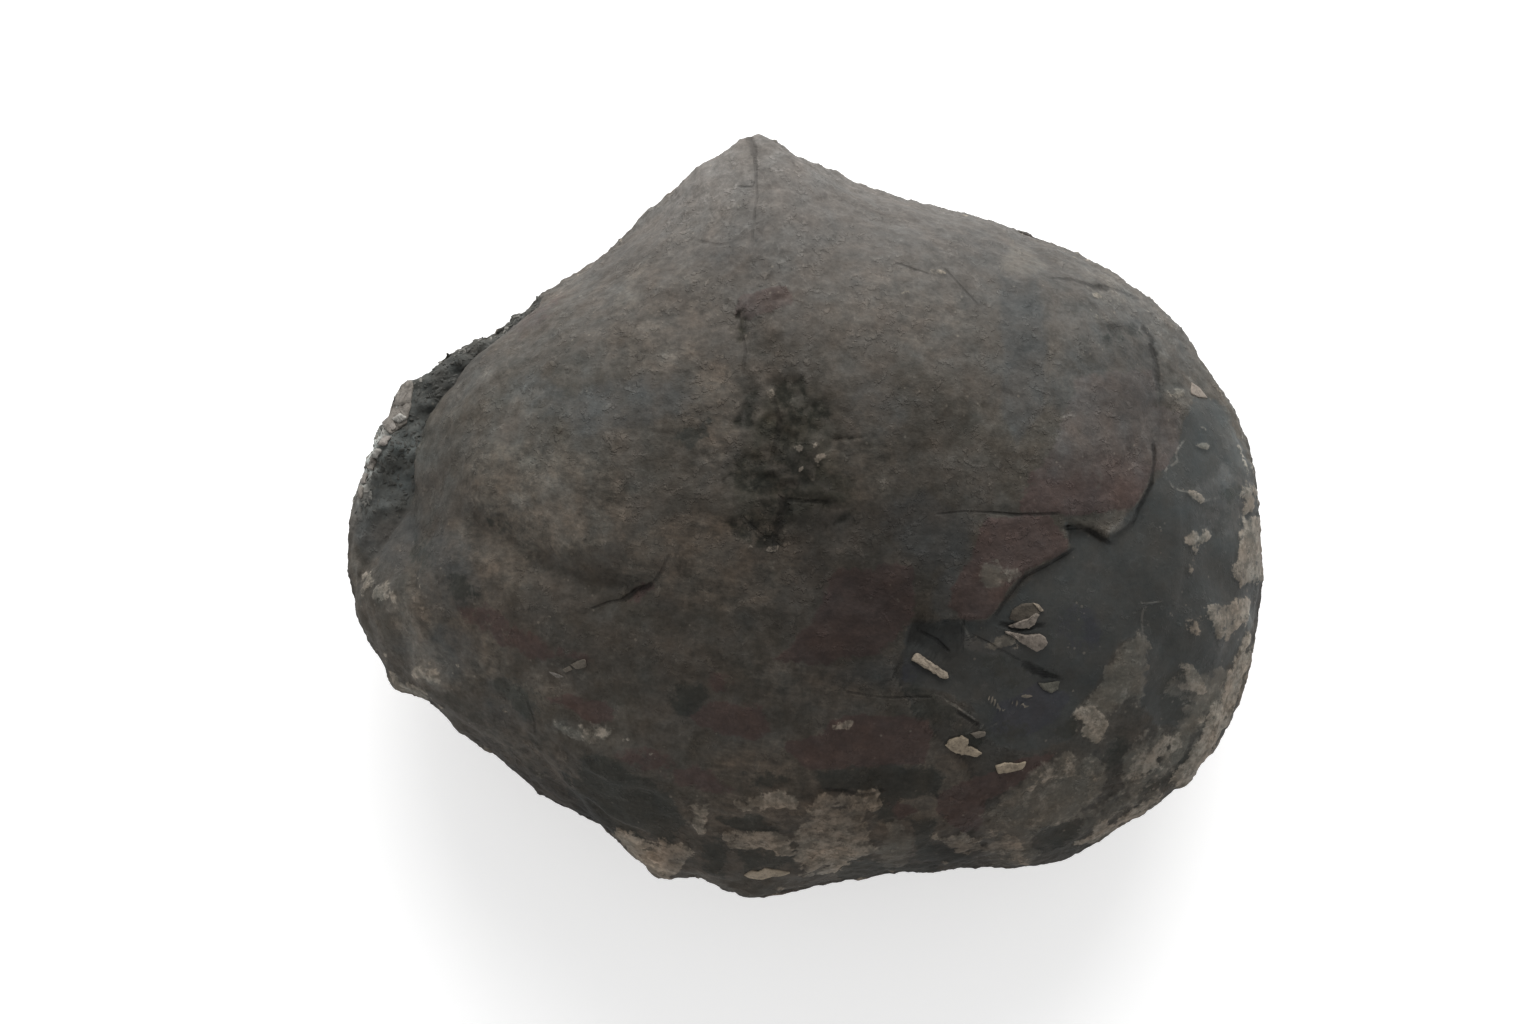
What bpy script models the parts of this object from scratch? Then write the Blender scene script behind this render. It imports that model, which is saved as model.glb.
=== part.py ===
"""Fossil brachiopod: a smooth, thick-shelled lamp shell with both valves shut, turned to one stone.

It lies on its brachial valve, with the larger pedicle valve up. +X runs to the shell's right, +Y to
the beak and +Z up, and the origin is the middle of its box, on the surface that it rests on.
Lengths are in millimetres until the last step, which makes them metres.
"""

import math

import bmesh
import bpy
import numpy as np
from mathutils import Vector, noise

METRES_PER_MM = 0.001

# Driving dimensions
SHELL_WIDTH = 80.0
SHELL_LENGTH = 66.3
SHELL_THICKNESS = 34.0

# The line where the valves meet, above the resting surface
COMMISSURE_HEIGHT = 12.5
BEAK_LIFT = 7.0  # the pedicle beak stands this far above the commissure
BEAK_SPREAD = math.radians(17)
FRONT_WAVE = 1.6  # the front of the commissure arches up by this
FRONT_ANGLE = math.radians(-96)
FRONT_SPREAD = math.radians(24)

# The crowns of the two valves, in plan
PEDICLE_CROWN = np.array((-0.86, 3.2))
BRACHIAL_CROWN = np.array((1.0, -1.2))
BRACHIAL_BELLY = -0.8  # the brachial valve would reach this low, if it weren't worn flat
PEDICLE_SQUARENESS, PEDICLE_SLIMNESS = 2.1, 0.58
BEAK_SLIMNESS, BEAK_SLIM_SPREAD = 0.22, math.radians(70)  # the back slopes more evenly than the sides
BRACHIAL_SQUARENESS, BRACHIAL_SLIMNESS = 2.1, 0.62

# The mesh: its lines run from crown to crown and round the shell
MERIDIANS = 96
RINGS = 32
FINE_WITHIN = 1.8  # triangles this near to a sharp line are halved
FINE_CROWN = 0.2  # the share of the way out from the crown that is halved too

# The margin in plan, clockwise from the tip of the beak
BEAK_TIP = (-4.0, 33.1)
MARGIN = [
    BEAK_TIP, (-1.4, 31.9), (1.7, 30.3), (5.6, 28.5), (8.6, 27.3), (12.5, 26.6), (16.0, 25.8),
    (22.1, 23.5), (25.6, 21.7), (29.1, 19.4), (33.0, 15.9), (35.6, 12.3), (37.6, 8.4),
    (39.0, 4.5), (39.8, -0.3), (40.0, -3.8), (39.6, -8.1), (37.8, -16.0), (35.5, -20.2),
    (33.6, -23.2), (30.0, -25.8), (25.6, -28.2), (22.1, -30.1), (18.2, -30.8), (13.9, -30.5),
    (8.2, -31.0), (3.8, -31.5), (-0.5, -32.5), (-5.3, -33.2), (-7.3, -32.3), (-9.2, -31.2),
    (-12.7, -31.4), (-14.7, -29.2), (-18.0, -26.9), (-23.2, -24.3), (-27.1, -21.0),
    (-30.2, -18.9), (-33.1, -15.9), (-35.8, -15.1), (-36.9, -12.7), (-38.7, -9.5),
    (-39.9, -4.7), (-39.9, -0.7), (-39.0, 2.1), (-37.7, 5.4), (-36.4, 9.3), (-35.4, 10.9),
    (-33.6, 11.6), (-31.5, 13.8), (-28.4, 15.4), (-25.4, 16.8), (-22.7, 19.1), (-18.0, 22.2),
    (-15.8, 24.3), (-13.2, 26.9), (-10.1, 29.5), (-7.3, 31.2),
]
SOFTENING = math.radians(55)  # at the crown, the margin's corners are evened out over this much
CORNER_HOLD = 4  # a higher power keeps the corners closer to the margin

# On the left the pedicle valve has broken back from the margin, and the rock core shows as a ledge:
# how far round the crown, in degrees, and how wide the ledge is there
LEDGE = [(145, 0.0), (153, 1.6), (160, 3.0), (168, 4.2), (176, 4.6), (184, 4.8), (190, 3.4), (197, 0.0)]
LEDGE_HEIGHT = 3.0
LEDGE_SQUARENESS = 40
LEDGE_BLEND = 1.0  # the height over which the valve's relief gives way to the ledge's

# Under the beak the brachial valve stands back, and its margin is a groove all the way round
HINGE_SETBACK = 6.5
HINGE_SPREAD = math.radians(13)
GROOVE_DEPTH = 0.7
GROOVE_HALF_ANGLE = math.radians(3.6)
GROOVE_ANGLE = math.radians(95.6)

# Broad forms of the pedicle valve: middle in plan, half length, half width, turn in degrees, height
SWELLINGS = [
    (-21.8, 4.4, 12.0, 9.0, -12, 1.7),  # the left lobe
    (8.0, 13.5, 13.0, 10.0, -20, 0.9),  # the right shoulder of the umbo
    (22.0, 11.0, 8.0, 10.0, 10, 0.6),
    (-4.2, 27.0, 5.0, 7.0, 0, 0.7),  # the umbo, behind the beak
    (-5.0, 12.0, 3.2, 15.0, 4, -0.45),  # the trough that the septum lies in
    (-1.6, 4.6, 3.8, 6.6, 8, -0.8),  # the rotted hollow at its end
    (4.0, -3.5, 16.0, 5.0, 20, -0.6),
    (11.0, -12.6, 3.0, 2.0, -20, -0.8),  # sockets of lost splinters
    (20.8, -14.0, 2.6, 1.3, -25, -0.8),
]

# Grooves of the pedicle valve: width, depth, and the line in plan
GROOVES = {
    "septum": (1.9, 0.45, [(-4.2, 31.9), (-4.3, 24.1), (-5.1, 19.7), (-5.8, 17.1), (-5.8, 12), (-5.1, 8)]),
    "lobe_crease": (3.4, 1.1, [(-28.4, -0.3), (-24.9, -2.5), (-20.6, -4.8), (-18.0, -5.6), (-14.5, -5.7)]),
    "lobe_crack": (1.6, 1.0, [(-18.2, -8.0), (-15.8, -7.3), (-13.6, -6.2), (-12.5, -4.7)]),
    "bedding_crack": (1.5, 0.4, [(12.1, 0.1), (16.9, 0.0), (22.1, -0.5)]),
    "shoulder_crack": (1.6, 0.6, [(21.7, 20.6), (25.6, 19.7), (28.2, 19.0), (31.7, 17.3)]),
}

# Where a layer of shell has flaked away: its edge, and the corners that close the bared area
FLAKE_EDGE = [
    (28.2, 17.3), (30.0, 15.8), (31.5, 11.9), (31.3, 5.8), (30.7, 2.7), (28.2, -0.3), (26.1, -2.1),
    (24.9, -1.2), (22.8, -0.3), (23.2, -2.5), (20.4, -4.8), (17.2, -8.1), (15.6, -9.2), (8.6, -9.2),
    (8.6, -12.1),
]
BARED_CORNERS = [(4.0, -15.5), (12.0, -19.5), (22.0, -40.0), (60.0, -40.0), (60.0, 17.3)]
FLAKE_DEPTH = 1.4
FLAKE_SLOPE = 1.2  # how far the step takes to reach its depth
FLAKE_FADE = 16.0  # how far from the edge the bared layer rises to the surface again

# Growth lamellae overlap like shingles: where each ends on the way from crown to margin, and its lift
PEDICLE_LAMELLAE = [(0.66, 0.25), (0.81, 0.5), (0.91, 0.5)]
BRACHIAL_LAMELLAE = [(0.60, 0.4), (0.74, 0.5), (0.85, 0.55), (0.94, 0.45)]
LAMELLA_SLOPE = 0.03  # the share of the way over which its edge drops off

# Broad forms of the brachial valve: its umbo, tucked under the beak, and its low fold
BRACHIAL_SWELLINGS = [(-3.6, 20.0, 8.0, 6.5, 0, 1.8), (1.0, -22.0, 6.0, 13.0, 0, 0.9)]

# Weathering: size of the lumps and how far they stand out
LUMPS = [(9.0, 0.55), (3.6, 0.30)]
LEDGE_LUMPS = (2.4, 0.9)

STONE_COLOUR = (0.085, 0.078, 0.070, 1.0)
STONE_ROUGHNESS = 0.82
STONE_METALLIC = 0.0


def smooth_step(low, high, value):
    share = np.clip((value - low) / (high - low), 0.0, 1.0)
    return share * share * (3.0 - 2.0 * share)


def bell(offset, spread):
    return np.exp(-((offset / spread) ** 2))


def turned_by(angle, from_angle):
    """The angle between two directions, from -pi to pi."""
    return (angle - from_angle + math.pi) % (2 * math.pi) - math.pi


def margin_radius(angle):
    """How far the margin is from the crown of the pedicle valve, in each direction."""
    offsets = np.array(MARGIN) - PEDICLE_CROWN
    bearings = np.arctan2(offsets[:, 1], offsets[:, 0])
    return np.interp(angle, bearings, np.hypot(*offsets.T), period=2 * math.pi)


def outline_radius(share, angle):
    """The margin's radius with its corners evened out more, the nearer a point is to the crown."""
    reach = SOFTENING * (1.0 - share**CORNER_HOLD)
    shifts = np.linspace(-1.0, 1.0, 17)
    return sum(margin_radius(angle + shift * reach) for shift in shifts) / len(shifts)


def ledge_width(angle):
    degrees, widths = zip(*LEDGE)
    return np.interp(np.degrees(angle) % 360, degrees, widths)


def distance_to_line(plan, line):
    nearest = np.full(len(plan), np.inf)
    for start, end in zip(line[:-1], line[1:]):
        span = np.subtract(end, start)
        share = np.clip((plan - start) @ span / (span @ span), 0.0, 1.0)
        nearest = np.minimum(nearest, np.linalg.norm(plan - start - np.outer(share, span), axis=1))
    return nearest


def inside(plan, outline):
    """Which points lie in a closed outline, by the number of its sides that a ray to +X crosses."""
    crossings = np.zeros(len(plan), int)
    for (x0, y0), (x1, y1) in zip(outline, outline[1:] + outline[:1]):
        straddles = (y0 > plan[:, 1]) != (y1 > plan[:, 1])
        side_x = x0 + (plan[:, 1] - y0) * (x1 - x0) / (y1 - y0 if y1 != y0 else 1.0)
        crossings += straddles & (plan[:, 0] < side_x)
    return crossings % 2 == 1


def swelling(plan, x, y, half_length, half_width, turn):
    """1 at the middle of an ellipse, falling smoothly to 0 a little way outside it."""
    cosine, sine = math.cos(math.radians(turn)), math.sin(math.radians(turn))
    offset = plan - (x, y)
    along = (offset[:, 0] * cosine + offset[:, 1] * sine) / half_length
    across = (offset[:, 1] * cosine - offset[:, 0] * sine) / half_width
    return np.exp(-(along**2 + across**2))


def lumps(points, size, height):
    """Smooth random relief, the same each run."""
    return height * np.array([noise.noise(Vector(point) / size) for point in points])


def lamellae(share, ends):
    """Each lamella rises gently from under the one before it to its own edge, then drops off."""
    relief, start = np.zeros_like(share), 0.0
    for end, lift in ends:
        rise = np.clip((share - start) / (end - start), 0.0, 1.0) ** 2
        relief += lift * rise * (1.0 - smooth_step(end, end + LAMELLA_SLOPE, share))
        start = end
    return relief


def margin_height(angle, beak_angle):
    """The height of the widest line all round: level, but for the front wave and the lifted beak."""
    return (
        COMMISSURE_HEIGHT
        + BEAK_LIFT * bell(turned_by(angle, beak_angle), BEAK_SPREAD)
        + FRONT_WAVE * bell(turned_by(angle, FRONT_ANGLE), FRONT_SPREAD)
    )


def pedicle_plan(share, angle):
    """Where the upper valve's points lie in plan: even curves inside, the true margin outside."""
    reach = share * outline_radius(share, angle)
    return PEDICLE_CROWN + np.column_stack((np.cos(angle), np.sin(angle))) * reach[:, None]


def pedicle_height(share, angle, rim_height, beak_angle):
    """The height of the upper valve or, where it is broken back, of the ledge, and the ledge's share."""
    margin = margin_radius(angle)
    valve_share = np.clip(share * margin / (margin - ledge_width(angle)), 0.0, 1.0)
    slimness = PEDICLE_SLIMNESS + BEAK_SLIMNESS * bell(turned_by(angle, beak_angle), BEAK_SLIM_SPREAD)
    dome = (1.0 - valve_share**PEDICLE_SQUARENESS) ** slimness
    valve = rim_height + (SHELL_THICKNESS - rim_height) * dome
    broken = ledge_width(angle) > 0
    ledge = rim_height + LEDGE_HEIGHT * (1.0 - share**LEDGE_SQUARENESS) * broken
    return np.maximum(valve, ledge), smooth_step(-LEDGE_BLEND, 0.0, ledge - valve) * broken


def brachial_valve(share, angle, polar, rim_height, beak_angle):
    """The lower valve: it stands back under the beak, and its crown is nearer the middle."""
    setback = HINGE_SETBACK * bell(turned_by(angle, beak_angle), HINGE_SPREAD)
    past_hinge = smooth_step(math.radians(90), math.radians(100), polar)
    groove = GROOVE_DEPTH * bell(polar - GROOVE_ANGLE, GROOVE_HALF_ANGLE)
    radius = np.minimum(outline_radius(share, angle), margin_radius(angle))
    reach = share * (radius - setback * past_hinge) - groove
    belly = (1.0 - share**BRACHIAL_SQUARENESS) ** BRACHIAL_SLIMNESS
    hinge_height = rim_height + (COMMISSURE_HEIGHT - rim_height) * past_hinge
    height = hinge_height + (BRACHIAL_BELLY - hinge_height) * belly
    crown = PEDICLE_CROWN + (BRACHIAL_CROWN - PEDICLE_CROWN) * (1.0 - share[:, None])
    return crown + np.column_stack((np.cos(angle), np.sin(angle))) * reach[:, None], height


def swellings(plan, places):
    return sum(height * swelling(plan, *place) for *place, height in places)


def pedicle_relief(points, share, on_ledge):
    """How far each point of the upper valve stands out from its smooth shape."""
    plan = points[:, :2]
    relief = swellings(plan, SWELLINGS)
    for width, depth, line in GROOVES.values():
        relief = relief - depth * bell(distance_to_line(plan, line), width / 2)
    from_edge = distance_to_line(plan, FLAKE_EDGE)
    bared = inside(plan, FLAKE_EDGE + BARED_CORNERS)
    flaked = smooth_step(0.0, FLAKE_SLOPE, from_edge) * np.exp(-from_edge / FLAKE_FADE)
    relief = relief - FLAKE_DEPTH * flaked * bared + lamellae(share, PEDICLE_LAMELLAE)
    return relief + (lumps(points, *LEDGE_LUMPS) - relief) * on_ledge


def on_ball(bm):
    """Each point of the unit sphere: its direction in plan, its share of the reach, its polar angle."""
    ball = np.array([vert.co for vert in bm.verts])
    share = np.clip(np.hypot(ball[:, 0], ball[:, 1]), 0.0, 1.0)
    return np.arctan2(ball[:, 1], ball[:, 0]), share, np.arctan2(share, ball[:, 2])


def refine_sharp_lines(bm):
    """Halves the sphere's triangles wherever a groove or the flake's edge will cross them."""
    bm.verts.index_update()
    angle, share, polar = on_ball(bm)
    plan = pedicle_plan(share, angle)
    lines = [line for _, _, line in GROOVES.values()] + [FLAKE_EDGE]
    near = np.minimum.reduce([distance_to_line(plan, line) for line in lines]) < FINE_WITHIN
    near = (near | (share < FINE_CROWN)) & (polar < math.radians(88))
    edges = [edge for edge in bm.edges if any(near[vert.index] for vert in edge.verts)]
    bmesh.ops.subdivide_edges(bm, edges=edges, cuts=1, use_grid_fill=True)
    bmesh.ops.triangulate(bm, faces=bm.faces)
    for vert in bm.verts:
        vert.co.normalize()


def shape_shell(bm, beak_angle):
    """Moves the points of a unit sphere to the two valves, then adds the relief along the normals."""
    angle, share, polar = on_ball(bm)
    upper = polar < math.radians(90.01)
    rim_height = margin_height(angle, beak_angle)
    upper_height, on_ledge = pedicle_height(share, angle, rim_height, beak_angle)
    lower_plan, lower_height = brachial_valve(share, angle, polar, rim_height, beak_angle)
    plan = np.where(upper[:, None], pedicle_plan(share, angle), lower_plan)
    points = np.column_stack((plan, np.where(upper, upper_height, lower_height)))
    move_points(bm, points)

    lower_relief = lamellae(share, BRACHIAL_LAMELLAE) + swellings(plan, BRACHIAL_SWELLINGS)
    relief = np.where(upper, pedicle_relief(points, share, on_ledge), lower_relief)
    relief += sum(lumps(points, size, height) for size, height in LUMPS)
    normals = np.array([vert.normal for vert in bm.verts])
    return points + normals * relief[:, None]


def move_points(bm, points):
    for vert, point in zip(bm.verts, points):
        vert.co = point
    bm.normal_update()


def worn_flat_and_sized(points):
    """Cuts the belly off at the resting surface, and fits the shell to its driving dimensions."""
    points = points.copy()
    points[:, 2] = np.maximum(points[:, 2], 0.0)
    low, high = points.min(axis=0), points.max(axis=0)
    middle = np.array(((low[0] + high[0]) / 2, (low[1] + high[1]) / 2, 0.0))
    size = np.array((SHELL_WIDTH, SHELL_LENGTH, SHELL_THICKNESS))
    return (points - middle) * size / (high - low)


def stone_material():
    stone = bpy.data.materials.new("dark_fossil_stone")
    stone.use_nodes = True
    shader = stone.node_tree.nodes["Principled BSDF"]
    shader.inputs["Base Color"].default_value = STONE_COLOUR
    shader.inputs["Roughness"].default_value = STONE_ROUGHNESS
    shader.inputs["Metallic"].default_value = STONE_METALLIC
    return stone


def fossil_shell():
    beak_angle = math.atan2(*(np.array(BEAK_TIP) - PEDICLE_CROWN)[::-1])
    bm = bmesh.new()
    bmesh.ops.create_uvsphere(bm, u_segments=MERIDIANS, v_segments=RINGS, radius=1.0)
    refine_sharp_lines(bm)
    points = worn_flat_and_sized(shape_shell(bm, beak_angle))
    move_points(bm, points * METRES_PER_MM)
    mesh = bpy.data.meshes.new("fossil_brachiopod")
    bm.to_mesh(mesh)
    bm.free()
    mesh.shade_smooth()
    mesh.materials.append(stone_material())
    return bpy.data.objects.new("fossil_brachiopod", mesh)


def main():
    for leftover in list(bpy.data.objects):
        bpy.data.objects.remove(leftover)
    collection = bpy.data.collections.new("fossil brachiopod")
    bpy.context.scene.collection.children.link(collection)
    collection.objects.link(fossil_shell())


main()
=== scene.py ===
import math
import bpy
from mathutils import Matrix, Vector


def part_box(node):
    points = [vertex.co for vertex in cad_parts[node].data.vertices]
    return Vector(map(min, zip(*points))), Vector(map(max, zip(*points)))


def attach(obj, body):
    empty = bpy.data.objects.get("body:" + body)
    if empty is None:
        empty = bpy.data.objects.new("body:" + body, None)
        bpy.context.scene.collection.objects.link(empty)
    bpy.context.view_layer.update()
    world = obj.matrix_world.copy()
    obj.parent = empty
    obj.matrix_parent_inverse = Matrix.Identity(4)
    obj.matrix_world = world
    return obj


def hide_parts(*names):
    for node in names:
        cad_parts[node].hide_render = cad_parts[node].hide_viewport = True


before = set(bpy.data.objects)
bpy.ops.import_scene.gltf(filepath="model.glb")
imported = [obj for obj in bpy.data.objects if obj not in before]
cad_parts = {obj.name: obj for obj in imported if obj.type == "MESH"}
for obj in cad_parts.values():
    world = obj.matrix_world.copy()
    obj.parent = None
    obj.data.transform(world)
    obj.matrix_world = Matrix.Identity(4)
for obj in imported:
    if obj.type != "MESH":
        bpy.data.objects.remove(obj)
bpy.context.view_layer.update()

from types import SimpleNamespace

import bpy
import bmesh
import numpy as np
from mathutils import Vector, noise
from mathutils.bvhtree import BVHTree

noise.seed_set(124)      # the vector noise takes its offsets from the clock unless it has a seed

# Lengths are in millimetres until a mesh is made. +X is to the shell's right, +Y to its beak.
mm = 0.001
stoneNode = "fossil_brachiopod"

camera = {
    "over": (-3.3, 0.4),     # the point that it looks straight down on
    "levelSeen": 12.5,       # the height that fills the frame's width
    "widthSeen": 133.9,
    "lens": 100.0,
    "sensor": 36.0,
}
eyeHeight = camera["levelSeen"] + camera["widthSeen"] * camera["lens"] / camera["sensor"]

valves = {
    "cellsAbove": 280,       # the grid across the upper valve, and across the lower one
    "cellsBelow": 140,
    "rimHeight": 12.5,       # where the valves meet
    "beakLift": 7.0,
    "beakSpread": 17.0,      # degrees
    "frontWave": 1.6,
    "frontAngle": -96.0,
    "frontSpread": 24.0,
    "halfWidth": 36.0,       # about, for the spacing of the grid's rows
    "profileSteps": 3000,
    "lowerRim": 90.7,        # degrees from the crown where the lower grid ends, just under the rim
    "shelfRows": 6.0,        # extra rows for the hinge's shelf, as a length
    "upperCrown": (-0.86, 3.2),
    "lowerCrown": (1.0, -1.2),
    "belly": -0.8,           # how low the lower valve would reach if it weren't worn flat
    "upperSquareness": 2.1, "upperSlimness": 0.58,
    "beakSlimness": 0.22, "beakSlimSpread": 70.0,
    "lowerSquareness": 2.1, "lowerSlimness": 0.62,
    "softening": 55.0,       # how far the margin's corners are evened out at the crown, in degrees
    "cornerHold": 4,
    "ledgeHold": 0.88,
    "upperHeight": 34.0,
    "ledgeHeight": 2.6, "ledgeRounding": 40,
    "hingeSetback": 6.5, "hingeSpread": 13.0,
    "hingeEnds": 104.0,      # how far under the rim the hinge's shelf goes, from 90 at the rim
    "seamDepth": 0.7, "seamAngle": 95.0, "seamHalfAngle": 3.0,
    "upperLamellae": [(0.66, 0.12), (0.81, 0.28), (0.91, 0.35)],   # how far out each ends, its lift
    "lowerLamellae": [(0.44, 0.15), (0.60, 0.3), (0.70, 0.2), (0.79, 0.4), (0.87, 0.3), (0.94, 0.4)],
    "lamellaSlope": 0.016,
    "lamellaWaver": 0.012,
    "lamellaGaps": 9.0, "lamellaSide": -75.0, "lamellaSideSpread": 95.0,
    "lumps": [(9.0, 0.55), (3.6, 0.25)],                           # size, height
    "ledgeLumps": [(2.4, 0.55), (1.0, 0.35)],
}

beakTip = (-4.2, 32.8)
margin = [   # clockwise from the tip of the beak
    beakTip, (-3.2, 32.3), (-0.6, 30.9), (1.4, 30.1), (2.6, 29.9), (4.6, 29), (6.8, 28.1), (8.6, 27.3),
    (12.5, 26.6), (16, 25.8), (22.1, 23.5), (25.6, 21.7), (29.1, 19.4), (33, 15.9), (35.6, 12.3),
    (37.6, 8.4), (39, 4.5), (39.9, -0.3), (40, -3.8), (39.8, -8.1), (38, -16), (35.5, -20.2), (33.6, -23.2),
    (30, -25.8), (25.6, -28.2), (22.1, -30.1), (18.2, -30.8), (13.9, -30.5), (8.2, -31), (3.8, -31.5),
    (-0.5, -32.5), (-5.3, -33.2), (-7.3, -32.3), (-9.2, -31.2), (-13.1, -31.5), (-15.2, -29.5),
    (-18.1, -27.1), (-23.4, -24.5), (-27.1, -21), (-30.4, -19), (-33.2, -15.9), (-36, -15.3), (-37.2, -13),
    (-39.1, -9.6), (-39.9, -5.2), (-39.9, -0.7), (-39.1, 2.2), (-37.7, 5.6), (-36, 9.2), (-35.2, 10.9),
    (-33.6, 11.6), (-31.7, 13.9), (-28.4, 15.5), (-25.5, 17), (-22.7, 19.1), (-18, 22.2), (-15.8, 24.3),
    (-13.2, 26.9), (-10.1, 29.5), (-7.4, 31.2), (-5.3, 32.3),
]
ledge = [   # bearing from the crown in degrees, width
    (145, 0), (149, 0.8), (153, 1.2), (158, 1.5), (163, 1.8), (168, 2.2), (172, 2.5), (176, 3), (179, 3.4),
    (182, 3.8), (185, 3.7), (188, 2.9), (191, 1.5), (195, 0),
]

upperSwellings = [   # x, y, half length, half width, turn, height
    (-21.8, 4.4, 12, 9, -12, 1.7), (8, 13.5, 13, 10, -20, 0.9), (22, 11, 8, 10, 10, 0.6),
    (-4.2, 25.5, 5, 6.5, 0, 0.7), (-5, 12, 3.2, 15, 4, -0.45), (-1.6, 4.6, 3.8, 6.6, 8, -0.8),
    (4, -3.5, 16, 5, 20, -0.6), (11, -12.6, 3, 2, -20, -0.5), (20.8, -14, 2.6, 1.3, -25, -0.4),
]
lowerSwellings = [(-3.6, 20.0, 8.0, 6.5, 0, 1.8), (1.0, -22.0, 6.0, 13.0, 0, 0.9)]
creases = [   # width, depth, line
    (1.8, 0.22, [(-4.2, 31.9), (-4.3, 24.1), (-5.1, 19.7), (-5.8, 17.1), (-5.8, 12.0), (-5.1, 8.0)]),
    (3.4, 0.9, [(-27.4, -1.2), (-24.9, -2.5), (-20.6, -4.8), (-18.0, -5.6), (-14.5, -5.7)]),
    (1.6, 0.4, [(-24.9, -2.5), (-20.6, -4.8), (-18.0, -5.6), (-15.5, -5.8)]),
    (1.5, 0.4, [(-18.2, -8.0), (-15.8, -7.3), (-13.6, -6.2), (-12.5, -4.7)]),
    (1.5, 0.35, [(-33.2, 6.5), (-34.1, 3.0), (-34.3, -1.0), (-33.6, -6.0)]),
]


def smoothStep(low, high, value):
    share = np.clip((value - low) / (high - low), 0.0, 1.0)
    return share * share * (3.0 - 2.0 * share)


def bell(offset, spread):
    return np.exp(-((offset / spread) ** 2))


def turnedBy(angle, degrees):
    return (np.degrees(angle) - degrees + 180.0) % 360.0 - 180.0


def marginRadius(angle):
    offsets = np.array(margin) - valves["upperCrown"]
    bearings = np.arctan2(offsets[:, 1], offsets[:, 0])
    return np.interp(angle, bearings, np.hypot(*offsets.T), period=2 * math.pi)


def evenedOut(measure, angle, reach):
    # a measure of the margin, averaged over a reach in degrees
    shifts = np.radians(reach) * np.linspace(-1.0, 1.0, 17)[:, None]
    return sum(measure(angle + shift) for shift in shifts) / len(shifts)


def outlineRadius(share, angle):
    return evenedOut(marginRadius, angle, valves["softening"] * (1.0 - share ** valves["cornerHold"]))


def ledgeWidth(angle):
    degrees, widths = zip(*ledge)
    return np.interp(np.degrees(angle) % 360, degrees, widths)


def ledgePart(share, angle):
    # the part of the way out that the ledge takes, evened out towards the crown
    reach = valves["softening"] * smoothStep(valves["ledgeHold"], 0.45, share) + 1.0
    return evenedOut(lambda bearing: ledgeWidth(bearing) / marginRadius(bearing), angle, reach)


def lineDistance(plan, line):
    nearest = np.full(len(plan), np.inf)
    for start, end in zip(line[:-1], line[1:]):
        span = np.subtract(end, start)
        share = np.clip((plan - start) @ span / (span @ span), 0.0, 1.0)
        nearest = np.minimum(nearest, np.linalg.norm(plan - start - np.outer(share, span), axis=1))
    return nearest


def insideOutline(plan, outline):
    crossings = np.zeros(len(plan), int)
    for (x0, y0), (x1, y1) in zip(outline, outline[1:] + outline[:1]):
        straddles = (y0 > plan[:, 1]) != (y1 > plan[:, 1])
        sideX = x0 + (plan[:, 1] - y0) * (x1 - x0) / (y1 - y0 if y1 != y0 else 1.0)
        crossings += straddles & (plan[:, 0] < sideX)
    return crossings % 2 == 1


def ellipseShare(plan, x, y, halfLength, halfWidth, turn):
    cosine, sine = math.cos(math.radians(turn)), math.sin(math.radians(turn))
    offset = plan - (x, y)
    along = (offset[:, 0] * cosine + offset[:, 1] * sine) / halfLength
    across = (offset[:, 1] * cosine - offset[:, 0] * sine) / halfWidth
    return np.hypot(along, across)   # 0 in the middle, 1 on the edge


def swellings(plan, places):
    return sum(height * np.exp(-ellipseShare(plan, *place) ** 2) for *place, height in places)


def lumps(points, size, height):
    return height * np.array([noise.noise(Vector(point) / size) for point in points])


def lamellae(share, ends):
    relief, start = np.zeros_like(share), 0.0
    for end, lift in ends:
        rise = np.clip((share - start) / (end - start), 0.0, 1.0) ** 2
        relief += lift * rise * (1.0 - smoothStep(end, end + valves["lamellaSlope"], share))
        start = end
    return relief


def rimHeight(angle):
    beakAngle = math.degrees(math.atan2(*(np.array(beakTip) - valves["upperCrown"])[::-1]))
    return (
        valves["rimHeight"]
        + valves["beakLift"] * bell(turnedBy(angle, beakAngle), valves["beakSpread"])
        + valves["frontWave"] * bell(turnedBy(angle, valves["frontAngle"]), valves["frontSpread"])
    ), turnedBy(angle, beakAngle)


def discGrid(cells):
    # a square grid bent into a disc: even cells, and no pole
    side = np.linspace(-1.0, 1.0, cells + 1)
    across, up = (part.ravel() for part in np.meshgrid(side, side))
    wide = np.abs(across) > np.abs(up)
    reach = np.where(wide, across, up)
    slope = np.where(wide, up, across) / np.where(reach == 0, 1.0, reach)
    angle = np.where(wide, math.pi / 4 * slope, math.pi / 2 - math.pi / 4 * slope)
    corner = np.arange((cells + 1) ** 2).reshape(cells + 1, cells + 1)
    quads = np.stack((corner[:-1, :-1], corner[:-1, 1:], corner[1:, 1:], corner[1:, :-1]), axis=-1)
    edge = np.concatenate((corner[0, :-1], corner[:-1, -1], corner[-1, :0:-1], corner[:0:-1, 0]))
    return np.abs(reach), angle + math.pi * (reach < 0), quads.reshape(-1, 4), edge


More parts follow.
